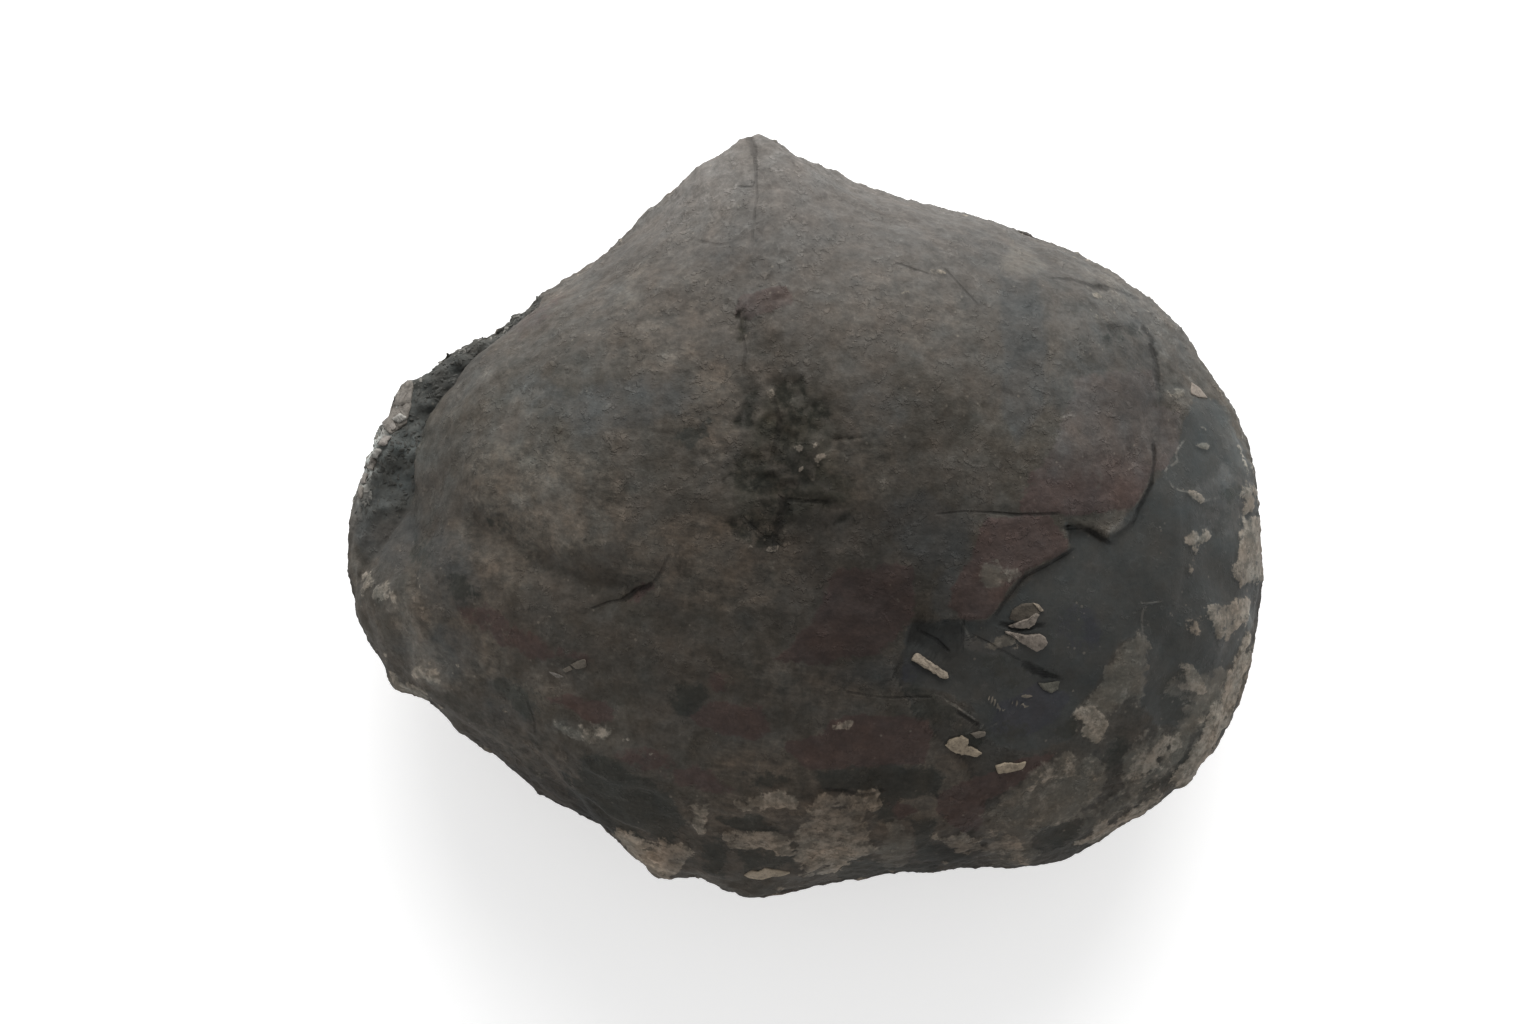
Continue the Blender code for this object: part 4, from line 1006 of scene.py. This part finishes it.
def weatheredShell(owner, finish):
    sockets = dict(weathering, Finish=("NodeSocketMaterial", finish))
    bench, given = geometryTree("weathering", sockets)
    masks = finishMasks(bench)
    place, lines = masks.place, masks.lines
    coarse = bench.noise(place, 3.2, 11.0)
    small = bench.noise(place, 0.9, 14.0)
    growth = bench.noise(lines, 1.2, 17.0)
    wear = bench.noise(place, 1.5, 18.0, 5.0, 0.7)
    rubble = bench.noise(place, 0.9, 19.0, 4.0, 0.7) * 0.6 + bench.noise(lines, 0.7, 20.0)
    facets = bench.cells(bench.warped(place, 0.9, 0.5), 0.8)
    crumple = bench.noise(place, 0.75, 16.0, 2.0, 0.5) - facets * 0.12
    plates = bench.cells(bench.warped(place, 1.6, 1.5), 2.5, "Color")
    plates = bench.add("ShaderNodeSeparateXYZ", {}, {"Vector": plates}, "X")
    calm = 1.0 - masks.slate * 0.6
    crust = masks.tan.most(masks.drab * 0.7)
    raised = (
        coarse * given["Coarse Height"] * calm,
        small * given["Fine Height"] * calm,
        growth * masks.rimward * given["Growth Height"] * calm,
        wear * masks.outward.smooth(0.93, 1.0) * given["Rim Wear"],
        masks.crumpled * crumple * given["Crumple Height"] * calm,
        crust * (masks.rough + 1.0) * given["Crust Height"],
        (plates - 0.5) * given["Plate Height"] * calm,
        masks.maroon * given["Maroon Height"],
        masks.ledge * rubble * given["Ledge Height"],
    )
    sunk = (
        masks.flaked * masks.flakeFade * given["Flake Depth"],
        masks.slate * given["Slate Depth"],
        masks.socket * (small * 3.0 + 1.0) * given["Socket Depth"],
        masks.pit * given["Pit Depth"],
        bench.field("crackNear") * given["Crack Depth"],
    )
    out = bench.shade(bench.add("GeometryNodeInputNormal"), sum(raised) * mm)
    down = bench.add("ShaderNodeCombineXYZ", {}, {"Z": sum(sunk) * (-mm)})
    inputs = {"Geometry": given["Geometry"], "Offset": bench.vectors("ADD", out, down)}
    finishTree(bench, bench.add("GeometryNodeSetPosition", {}, inputs), given["Finish"])
    return runTree(owner, bench, sockets)


stoneColours = {   # linear red, green, blue
    "greyBrown": (0.0545, 0.048, 0.0403),
    "darkBrown": (0.038, 0.033, 0.026),
    # pale grey for the upper part: dust, and painted light as well
    "dustAndTopLightGrey": (0.0885, 0.0822, 0.0758),
    "ochre": (0.083, 0.069, 0.0545),
    "bloom": (0.115, 0.104, 0.089),
    "coolGrey": (0.043, 0.0432, 0.0412),
    "maroon": (0.046, 0.031, 0.027),
    "maroonPale": (0.0625, 0.0535, 0.0475),
    "slate": (0.0325, 0.0334, 0.031),
    "slateBlue": (0.0292, 0.0292, 0.0328),
    "slateFilm": (0.050, 0.050, 0.048),
    "crust": (0.034, 0.032, 0.028),
    "darkCrust": (0.025, 0.025, 0.021),
    "rot": (0.014, 0.014, 0.010),
    "rotGreen": (0.033, 0.031, 0.022),
    "tan": (0.182, 0.158, 0.129),
    "tanDeep": (0.105, 0.092, 0.074),
    "drab": (0.080, 0.073, 0.060),
    "drabPale": (0.125, 0.113, 0.095),
    "vein": (0.17, 0.16, 0.14),
    "ledge": (0.175, 0.168, 0.152),
    # dark rock of the ledge, darkened further as painted shade along the valve's wall
    "ledgeDarkAndShade": (0.047, 0.047, 0.0425),
}


patterns = {   # noise that the colours share: size in millimetres, seed, detail, roughness
    "blotches": (5.0, 21.0, 5.0, 0.62),
    "mottle": (1.15, 23.0, 5.0, 0.65),
    "speck": (0.34, 25.0, 3.0, 0.6),
    "tint": (2.6, 35.0, 4.0, 0.6),
    "film": (2.4, 33.0, 4.0, 0.6),
    "holes": (0.7, 81.0, 3.0, 0.6),
    "scabs": (0.75, 77.0, 4.0, 0.6),
    "scabGroups": (3.4, 79.0, 2.0),
    "fleckGroups": (4.0, 31.0, 2.0),
}
shellShine = 0.2


def newMaterial(name):
    material = bpy.data.materials.new(name)
    material.use_nodes = True
    return material, Bench(material.node_tree)


def stoneSurface(bench, colour, roughness, height, shine):
    # ends a material with its surface; the height is in millimetres
    normal = bench.add("ShaderNodeBump", {}, {"Strength": 1.0, "Distance": mm, "Height": height})
    inputs = {"Base Color": colour, "Roughness": roughness, "Normal": normal, "Specular IOR Level": shine}
    surface = bench.add("ShaderNodeBsdfPrincipled", {}, inputs)
    bench.add("ShaderNodeOutputMaterial", {}, {"Surface": surface})


def shellNoise(bench, masks):
    # the patterns, and those that run along the growth lines or in streaks
    noises = SimpleNamespace(**{name: bench.noise(masks.place, *row) for name, row in patterns.items()})
    noises.bands = bench.noise(masks.lines, 0.8, 27.0, 4.0, 0.6)
    noises.slivers = bench.noise(masks.lines, 0.5, 39.0, 4.0, 0.65)
    noises.dashes = bench.noise(bench.stretched(masks.place, (0.3, 1.2, 1.0), 8.0), 0.42, 29.0, 3.0, 0.6)
    noises.rotted = bench.noise(bench.stretched(masks.place, (1.0, 0.6, 1.0), 0.0), 0.9, 37.0, 3.0, 0.6)
    # thin pale lines where one noise crosses its middle, broken up by another
    line = abs(bench.noise(masks.place, 1.8, 75.0, 3.0, 0.5)).smooth(0.02, 0.0)
    noises.paleLines = line * bench.noise(masks.place, 1.8 * 1.8, 76.0, 2.0).smooth(0.02, 0.12)
    noises.scabs = noises.scabs.smooth(0.03, 0.12) * noises.scabGroups.smooth(-0.08, 0.08)
    return noises


def shellLayers(bench, masks, noises):
    # what lies on the bare stone, from the lowest up: a colour, how far it covers, and where
    rough, fine, mottle, blotches = masks.rough, masks.fine, noises.mottle, noises.blotches
    ochre = (mottle * 0.8 + noises.dashes * 0.5 + blotches * 0.6).smooth(-0.30, 0.30)
    film = (noises.film + masks.bloom * 0.5).smooth(0.05, 0.5)
    slate = bench.blend("slate", "slateBlue", (masks.cool + blotches * 0.5).smooth(0.3, 0.9))
    slate = bench.blend(slate, "slateFilm", film)
    pale = (mottle * 0.6 + blotches * 0.5 + masks.upward - masks.dustAndTopLight * 1.4).smooth(0.15, 0.95)
    rot = bench.blend("rot", "rotGreen", (mottle + fine * 0.4).smooth(-0.04, 0.16))
    hollow = (rough + mottle + fine * 0.6).smooth(0.2, -0.2, 0.25, 0.95)
    drab = bench.blend("drab", "drabPale", (mottle + blotches * 0.6 + fine * 0.5).smooth(0.0, 0.24))
    drabRim = masks.drab.smooth(0.1, 0.45) * masks.drab.smooth(0.9, 0.5)
    tan = bench.blend("tanDeep", "tan", (blotches + mottle * 0.8 + fine * 0.8).smooth(-0.16, 0.16))
    worn = (masks.streaks * 0.6 + mottle * 0.8).smooth(-0.24, 0.06, 0.66, 0.96)
    outer = masks.ledgeOutward * (bench.field("ledgePale") + 1.0)
    outer = (outer + noises.slivers * 1.5 + mottle * 1.2).smooth(1.15, 2.0)
    ledge = (masks.ledge + rough * 0.8).smooth(0.2, 0.7) * masks.ledge.smooth(0.0, 0.15)
    flecks = (bench.cells(masks.place, 1.0) + fine * 0.25).smooth(0.15, 0.07)
    vein = (abs(bench.field("veinSide")) + fine * 2.6).smooth(1.2, 0.5) * bench.field("veinStrength")
    return (
        ("ochre", 1.0, masks.brown * ochre),
        # the upper part made paler: partly dust, partly painted light
        ("dustAndTopLightGrey", 1.0, masks.dustAndTopLight * (blotches * 0.7 + mottle * 0.5).smooth(-0.2, 0.12, 0.8, 1.0)),
        ("coolGrey", 0.65, masks.cool),
        ("bloom", 0.55, masks.bloom),
        ("crust", 0.8, masks.flaked * (1.0 - masks.upward)),
        (slate, 0.94, masks.slate * (1.0 - masks.bloom * 0.4)),
        (bench.blend("maroon", "maroonPale", pale), 0.9, masks.maroon),
        ("darkCrust", 0.88, masks.dark),
        ("rotGreen", 0.8, bench.field("pitZone").smooth(0.2, 0.8) * hollow),
        (rot, 0.8, masks.pit * (noises.rotted + mottle * 0.6).smooth(0.14, -0.08)),
        (drab, 0.82, masks.drab),
        ("drabPale", 0.45, drabRim * (rough + fine).smooth(-0.05, 0.2)),
        (tan, 1.0, masks.tan * (worn * (1.0 - noises.holes.smooth(0.11, 0.17) * 0.7))),
        # the ledge: dark near the valve's wall (dark rock and painted shade), pale at its outer edge
        (bench.blend("ledgeDarkAndShade", "ledge", outer), 1.0, ledge * (bench.field("ledgeDarkAndShade") * 0.62 + 0.25)),
        ("tan", 0.3, flecks * noises.fleckGroups.smooth(0.0, 0.10)),
        ("vein", 1.0, vein * (rough * 1.4 + fine * 1.6 + 0.5).smooth(0.2, 0.8)),
    )


def shellShading(bench, masks, noises):
    # how much lighter or darker the stone is from place to place, with painted light and painted shade among
    # it
    rough, calm = masks.rough, 1.0 - masks.slate * 0.4
    # painted shade in the cracks and along the flake's edges and chips
    crack = (abs(bench.field("crackSide")) + masks.fine * 2.2).smooth(1.5, 0.3)
    # painted shade along the lower margin, painted light along the upper margin
    edgeShade = masks.outward.smooth(0.988, 0.999) * (1.0 - masks.upward) * (rough + 0.3).smooth(0.0, 0.4)
    edgeLight = masks.outward.smooth(0.86, 1.0) * masks.upward * (1.0 - masks.ledge)
    variety = (
        noises.mottle * calm * 0.9,
        noises.speck * calm * 0.7,
        noises.bands * calm * (1.0 - masks.dustAndTopLight) * 0.25,
        noises.dashes * calm * 0.35,
        rough * masks.crumpled * 0.4,
        noises.paleLines * (calm * 0.25 - bench.field("pitZone") * 0.6),
        noises.scabs * calm * 0.22,
        # broad brightness: partly the stone's own tone, partly painted light and painted shade
        bench.field("toneAndShading"),
        edgeLight * 0.22,
    )
    # painted shade: in the cracks, in the socket's hollow, under the flake's edge and along the lower margin
    shadow = (
        crack * bench.field("crackStrength") * 0.62,
        masks.socket * 0.12,
        masks.underFlakeShade * (rough + 0.05).smooth(-0.1, 0.15) * 0.3,
        edgeShade * 0.4,
    )
    return math.prod(part + 1.0 for part in variety) * math.prod(1.0 - part for part in shadow)


def shellFinish():
    material, bench = newMaterial("weathered_shell")
    masks = finishMasks(bench)
    noises = shellNoise(bench, masks)
    mottle, scabs = noises.mottle, noises.scabs
    colour = bench.blend("darkBrown", "greyBrown", (noises.blotches + mottle * 0.6).smooth(-0.24, 0.20))
    for paint, most, where in shellLayers(bench, masks, noises):
        colour = bench.blend(colour, paint, where * most)
    colour = bench.shade(colour, shellShading(bench, masks, noises))
    tint = noises.tint * (1.0 - masks.dustAndTopLight * 0.6) * 0.34 + bench.field("warmth")
    warmth = bench.add("ShaderNodeCombineXYZ", {}, {"X": tint + 1.0, "Y": 1.0, "Z": 1.0 - tint * 0.7})
    colour = bench.vectors("MULTIPLY", colour, warmth)

    roughness = 0.84 - masks.slate * 0.20 - masks.maroon * 0.06 + masks.tan * 0.06
    smoother = 1.0 - bench.field("slateEdge").smooth(-0.1, 0.3) * 0.6
    height = (noises.speck * 0.05 + mottle * 0.11 + scabs * 0.07) * smoother
    split = abs(bench.field("crackSide")).smooth(1.5, 0.3) * bench.field("crackStrength")
    stoneSurface(bench, colour, roughness, height - split * 0.15, shellShine)
    return material


def addPiece(name, mesh):
    piece = bpy.data.objects.new(name, mesh)
    bpy.context.scene.collection.objects.link(piece)
    triangles = sum(len(face.vertices) - 2 for face in mesh.polygons)
    print(name + ":", len(mesh.vertices), "points,", triangles, "triangles")
    return piece


def makeShell():
    points, faces, layout = shellSurface()
    mesh = bpy.data.meshes.new("shellSurface")
    mesh.from_pydata(points * mm, [], faces)
    mesh.update()
    points = fittedToSolid(broadForms(mesh, points, layout))
    setPoints(mesh, points)
    storeFinishes(mesh, points, layout)
    owner = bpy.data.objects.new("shellDraft", mesh)
    bpy.context.scene.collection.objects.link(owner)
    weathered = weatheredShell(owner, shellFinish())
    bpy.data.objects.remove(owner)
    setPoints(weathered, fittedToSolid(getPoints(weathered)))
    weathered.shade_smooth()
    return addPiece("fossil_shell", weathered)


chips = {
    "spacing": 0.22,          # between the points of a chip's edge
    "unevenness": 0.13,
    "roughness": 0.8, "shine": 0.3,
    "profile": [(1.0, -0.5), (1.0, 0.55), (0.94, 0.85), (0.7, 1.0), (0.3, 0.9)],   # inset, height
    "shapes": [   # height, colour, outline; the first lie on the shell, the last on the ledge
        (0.45, "cream", [(9.2, -12.5), (9.4, -12), (9.8, -11.9), (12.4, -13.7), (12.4, -14),
            (12.1, -14.2)]),
        (0.35, "pink", [(17.3, -10), (18.2, -10.1), (19.3, -10.3), (20.3, -10.2), (20.9, -10.5), (21, -11),
            (20.7, -11.5), (20.1, -11.7), (19.3, -11.3), (18.4, -10.7)]),
        (0.2, "brown", [(17.7, -8.9), (18, -8.1), (18.8, -7.6), (19.9, -7.5), (20.4, -8), (20.2, -8.7),
            (19.4, -9.1), (18.6, -9.2)]),
        (0.3, "pink", [(17.6, -9.5), (18.3, -9.2), (19.4, -8.8), (20, -8.3), (20.3, -8.5), (20, -9.2),
            (19.4, -9.7), (18.5, -9.7)]),
        # this cream chip is a painted highlight on the brown chip's upper right edge
        (0.3, "cream", [(19.7, -7.5), (20.2, -7.6), (20.7, -8.2), (20.4, -8.3), (20, -7.8)]),
        (0.22, "olive", [(20.2, -14.5), (20.9, -14.5), (22.1, -14.3), (22, -15), (21.4, -15.4),
            (20.7, -15.1)]),
        (0.35, "sand", [(12.1, -19.9), (12.5, -19.4), (13.6, -19.1), (14.2, -19.4), (13.9, -19.9),
            (14.6, -20.1), (15.4, -20.6), (14.9, -20.9), (13.8, -20.7), (12.8, -20.5)]),
        (0.2, "drab", [(14.3, -18.9), (15, -18.7), (15.7, -18.7), (15.6, -19.1), (14.8, -19.3)]),
        (0.25, "sand", [(16.5, -21.7), (17.4, -21.4), (18.4, -21.5), (19.2, -21.3), (19, -21.9),
            (18, -22.2), (16.7, -22.4)]),
        (0.15, "sand", [(-5.4, -31.2), (-4.7, -30.8), (-4.2, -30.9), (-3.5, -30.6), (-2.2, -30.8),
            (-1.3, -31), (-2.1, -31.3), (-2.9, -31.3), (-3.8, -31.6), (-4.9, -31.5)]),
        (0.12, "pink", [(33.6, 11.7), (34.4, 11.1), (35, 10.3), (34.2, 10.4), (33.5, 10.7)]),
        (0.14, "drab", [(-20.5, -12.9), (-19.8, -12.5), (-19.2, -12.4), (-19.1, -13.1), (-19.9, -13.3)]),
        (0.1, "drab", [(-21.2, -13.3), (-20.6, -13), (-20.3, -13.3), (-20.9, -13.6)]),
        (0.14, "rock", [(-22.4, -13.5), (-21.9, -13.6), (-21, -14), (-21.7, -14)]),
        (0.3, "rock", [(-36.6, 9.2), (-35.8, 11.6), (-34.9, 12.2), (-34.2, 11.6), (-34.4, 9.6),
            (-34.8, 8.1), (-36.2, 7.1), (-36.9, 8)]),
        (0.4, "white", [(-36.3, 9.8), (-35.7, 11.2), (-35.4, 11.1), (-36, 9.5)]),
        (0.45, "white", [(-35.9, 8.4), (-35.3, 8.9), (-34.7, 8.6), (-35.3, 8.1)]),
        (0.4, "shell", [(-36.3, 7.7), (-35.8, 8.2), (-35.5, 7.8), (-36, 7.3)]),
        (0.3, "shell", [(-37.2, 6.2), (-36.7, 7), (-36.1, 6.9), (-36.5, 6.2)]),
        (0.3, "white", [(-37.7, 5.3), (-37.3, 6), (-36.9, 5.8), (-37.3, 5.1)]),
        (0.25, "rock", [(-38.2, 4.2), (-37.8, 5.2), (-37.3, 4.9), (-37.7, 4)]),
        (0.25, "shell", [(-38.7, 2.9), (-38.4, 3.9), (-38.1, 3.7), (-38.4, 2.8)]),
        (0.25, "rock", [(-39, 1.6), (-38.8, 2.7), (-38.5, 2.5), (-38.7, 1.5)]),
    ],
}
chipColours = {   # linear red, green, blue
    "cream": (0.235, 0.196, 0.152),
    "pink": (0.158, 0.134, 0.112),
    "sand": (0.225, 0.184, 0.134),
    "drab": (0.105, 0.09, 0.072),
    "olive": (0.082, 0.078, 0.063),
    "brown": (0.055, 0.046, 0.035),
    "shell": (0.165, 0.150, 0.135),
    "rock": (0.135, 0.122, 0.107),
    "white": (0.25, 0.24, 0.22),
    "grime": (0.036, 0.031, 0.024),
}


def evenly(outline, spacing):
    # points at about even spacing round a closed outline
    corners = np.array(outline + outline[:1])
    along = np.concatenate(([0.0], np.cumsum(np.hypot(*np.diff(corners, axis=0).T))))
    stops = np.arange(0.0, along[-1] - spacing / 2, min(spacing, along[-1] / 9))
    return np.column_stack([np.interp(stops, along, corners[:, axis]) for axis in (0, 1)])


def onShell(tree, plan):
    # the shell's point and normal that the camera sees at a place of the plan
    eye = Vector((*camera["over"], eyeHeight)) * mm
    aim = Vector((*plan, camera["levelSeen"])) * mm - eye
    point, normal, _, _ = tree.ray_cast(eye, aim.normalized())
    if point is None:
        point, normal, _, _ = tree.find_nearest(eye + aim)
    return point, normal


def makeChips(shell):
    # pale splinters and chips of the shell, each a low closed lump set into the surface
    corners = [vertex.co for vertex in shell.data.vertices]
    tree = BVHTree.FromPolygons(corners, [face.vertices for face in shell.data.polygons])
    sheet = bmesh.new()
    tint = sheet.verts.layers.float_vector.new("tint")
    for height, colour, outline in chips["shapes"]:
        edge = evenly(outline, chips["spacing"])
        centre = edge.mean(axis=0)
        rings = []
        for inset, rise in chips["profile"]:
            ring = []
            for plan in centre + (edge - centre) * inset:
                shift = noise.noise_vector(Vector((*plan, rise)) / chips["spacing"]) * chips["unevenness"]
                point, normal = onShell(tree, plan + np.array(shift[:2]) * min(1.0, height * 2))
                lift = height * 0.8 * (rise + 0.35 * shift[2] / chips["unevenness"] * (rise > 0))
                ring.append(sheet.verts.new(point + normal * lift * mm))
            rings.append(ring)
        for lower, upper in zip(rings[:-1], rings[1:]):
            for index in range(len(lower)):
                sheet.faces.new((lower[index - 1], lower[index], upper[index], upper[index - 1]))
        sheet.faces.new(rings[0][::-1])
        sheet.faces.new(rings[-1])
        for ring in rings:
            for vertex in ring:
                vertex[tint] = chipColours[colour]
    bmesh.ops.triangulate(sheet, faces=sheet.faces[:])
    bmesh.ops.recalc_face_normals(sheet, faces=sheet.faces[:])
    mesh = bpy.data.meshes.new("pale_chips")
    sheet.to_mesh(mesh)
    sheet.free()
    mesh.materials.append(chipFinish())
    mesh.shade_smooth()
    return addPiece("pale_chips", mesh)


def chipFinish():
    material, bench = newMaterial("pale_chip")
    place = bench.add("ShaderNodeTexCoord", {}, {}, "Object")
    patches = bench.noise(place, 0.7 * mm, 51.0, 4.0, 0.65)
    grain = bench.noise(place, 0.16 * mm, 53.0, 3.0, 0.6)
    colour = bench.shade(bench.field("tint", True), (patches * 2.2 + 1.0) * (grain * 1.0 + 1.0))
    stain = (grain * 0.6 + patches).smooth(0.06, 0.22) * 0.6
    colour = bench.blend(colour, (*chipColours["grime"], 1.0), stain)
    stoneSurface(bench, colour, chips["roughness"], patches * 0.10 + grain * 0.05, chips["shine"])
    return material


grit = {   # sizes in millimetres
    "Density": ("NodeSocketFloat", 5.0),       # grains to the square millimetre
    "Smallest": ("NodeSocketFloat", 0.06),
    "Largest": ("NodeSocketFloat", 0.20),
    "Seed": ("NodeSocketInt", 4),
    "Finish": ("NodeSocketMaterial", None),
}


def gritFinish():
    material, bench = newMaterial("ledge_rock")
    # grains paler towards the ledge's outer edge, darker towards the valve's wall: dark rock and painted
    # shade
    light = (bench.field("grain") * 0.7 + bench.field("ledgeOutward") * 1.3).smooth(1.1, 1.85)
    rough = bench.noise(bench.add("ShaderNodeTexCoord", {}, {}, "Object"), 0.2 * mm, 61.0)
    stoneSurface(bench, bench.blend("ledgeDarkAndShade", "ledge", light), 0.8, rough * 0.08, shellShine)
    return material


def makeGrit(shell):
    # grains of rock scattered over the broken ledge
    sockets = dict(grit, Finish=("NodeSocketMaterial", gritFinish()))
    bench, given = geometryTree("ledge_grit", sockets)
    density = bench.field("ledgeShare").smooth(0.5, 0.95) * given["Density"] * (1.0 / mm**2)
    inputs = {"Mesh": given["Geometry"], "Density": density, "Seed": given["Seed"]}
    points = bench.add("GeometryNodeDistributePointsOnFaces", {}, inputs, "Points")
    upright = Wire(bench, points.socket.node.outputs["Rotation"])
    rock = bench.add("GeometryNodeMeshIcoSphere", {}, {"Radius": mm, "Subdivisions": 1}, "Mesh")

    def chance(low, high, seed):
        settings = {"data_type": "FLOAT"}
        return bench.add("FunctionNodeRandomValue", settings, {2: low, 3: high, 8: given["Seed"] + seed}, 1)

    size = chance(given["Smallest"], given["Largest"], 1)
    shape = {"X": (1.0, 2.4, 2), "Y": (0.6, 1.1, 3), "Z": (0.3, 0.7, 4)}
    scale = {axis: size * chance(*limits) for axis, limits in shape.items()}
    turn = bench.add("ShaderNodeCombineXYZ", {}, {"Z": chance(0.0, 2 * math.pi, 5)})
    turn = bench.add("FunctionNodeEulerToRotation", {}, {"Euler": turn})
    turns = {"Rotation": upright, "Rotate By": turn}
    inputs = {
        "Points": points, "Instance": rock,
        "Scale": bench.add("ShaderNodeCombineXYZ", {}, scale),
        "Rotation": bench.add("FunctionNodeRotateRotation", {"rotation_space": "LOCAL"}, turns),
    }
    grains = bench.add("GeometryNodeInstanceOnPoints", {}, inputs)
    settings = {"data_type": "FLOAT", "domain": "INSTANCE"}
    inputs = {"Geometry": grains, "Name": "grain", "Value": chance(0.0, 1.0, 8)}
    grains = bench.add("GeometryNodeStoreNamedAttribute", settings, inputs)
    finishTree(bench, grains, given["Finish"])
    mesh = runTree(shell, bench, sockets)
    low, high = (np.array(corner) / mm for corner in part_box(stoneNode))
    setPoints(mesh, np.clip(getPoints(mesh), low, high))
    return addPiece("ledge_grit", mesh)


studio = {
    "floorSize": 3.0,
    "floorDrop": 0.0002,      # metres under the stone, so that the two don't touch
    "floorColour": (0.90, 0.90, 0.90),
    "floorGlow": 0.45,
    "horizon": 1.15, "zenith": 0.42, "zenithHeight": 0.75,
    "keyPlace": (0.05, 0.62, 0.26), "keySize": 0.60, "keyPower": 8.0,
    "lookAt": (0.0, 0.0, 0.015),
}


def makeStudio():
    bpy.ops.mesh.primitive_plane_add(size=studio["floorSize"], location=(0, 0, -studio["floorDrop"]))
    floor = bpy.context.object
    floor.name = "floor"
    material, bench = newMaterial("pale_floor")
    paint = (*studio["floorColour"], 1.0)
    glow = {"Emission Color": paint, "Emission Strength": studio["floorGlow"]}
    surface = bench.add("ShaderNodeBsdfPrincipled", {}, {"Base Color": paint, "Roughness": 0.9, **glow})
    bench.add("ShaderNodeOutputMaterial", {}, {"Surface": surface})
    floor.data.materials.append(material)

    world = bpy.data.worlds.new("studio")
    bpy.context.scene.world = world
    world.use_nodes = True
    bench = Bench(world.node_tree)
    direction = bench.add("ShaderNodeTexCoord", {}, {}, "Generated")
    height = bench.add("ShaderNodeSeparateXYZ", {}, {"Vector": direction}, "Z")
    strength = height.smooth(0.0, studio["zenithHeight"], studio["horizon"], studio["zenith"])
    sky = bench.add("ShaderNodeBackground", {}, {"Color": (1.0, 1.0, 1.0, 1.0), "Strength": strength})
    bench.add("ShaderNodeOutputWorld", {}, {"Surface": sky})

    key = bpy.data.lights.new("key", "AREA")
    key.energy = studio["keyPower"]
    key.shape = "SQUARE"
    key.size = studio["keySize"]
    lamp = bpy.data.objects.new("key", key)
    lamp.location = studio["keyPlace"]
    lamp.rotation_euler = (Vector(studio["lookAt"]) - lamp.location).to_track_quat("-Z", "Y").to_euler()
    lamp.visible_camera = False
    bpy.context.scene.collection.objects.link(lamp)
    bpy.context.scene.view_settings.view_transform = "Standard"


def makeCamera():
    lens = bpy.data.cameras.new("camera")
    lens.lens = camera["lens"]
    lens.sensor_width = camera["sensor"]
    lens.clip_start, lens.clip_end = 0.01, 10.0
    view = bpy.data.objects.new("camera", lens)
    view.location = Vector((*camera["over"], eyeHeight)) * mm
    bpy.context.scene.collection.objects.link(view)
    bpy.context.scene.camera = view


makeStudio()
makeCamera()
print("studio ready")
shell = makeShell()
stonePieces = [shell, makeChips(shell), makeGrit(shell)]
for piece in stonePieces:
    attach(piece, "root")
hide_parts(stoneNode)
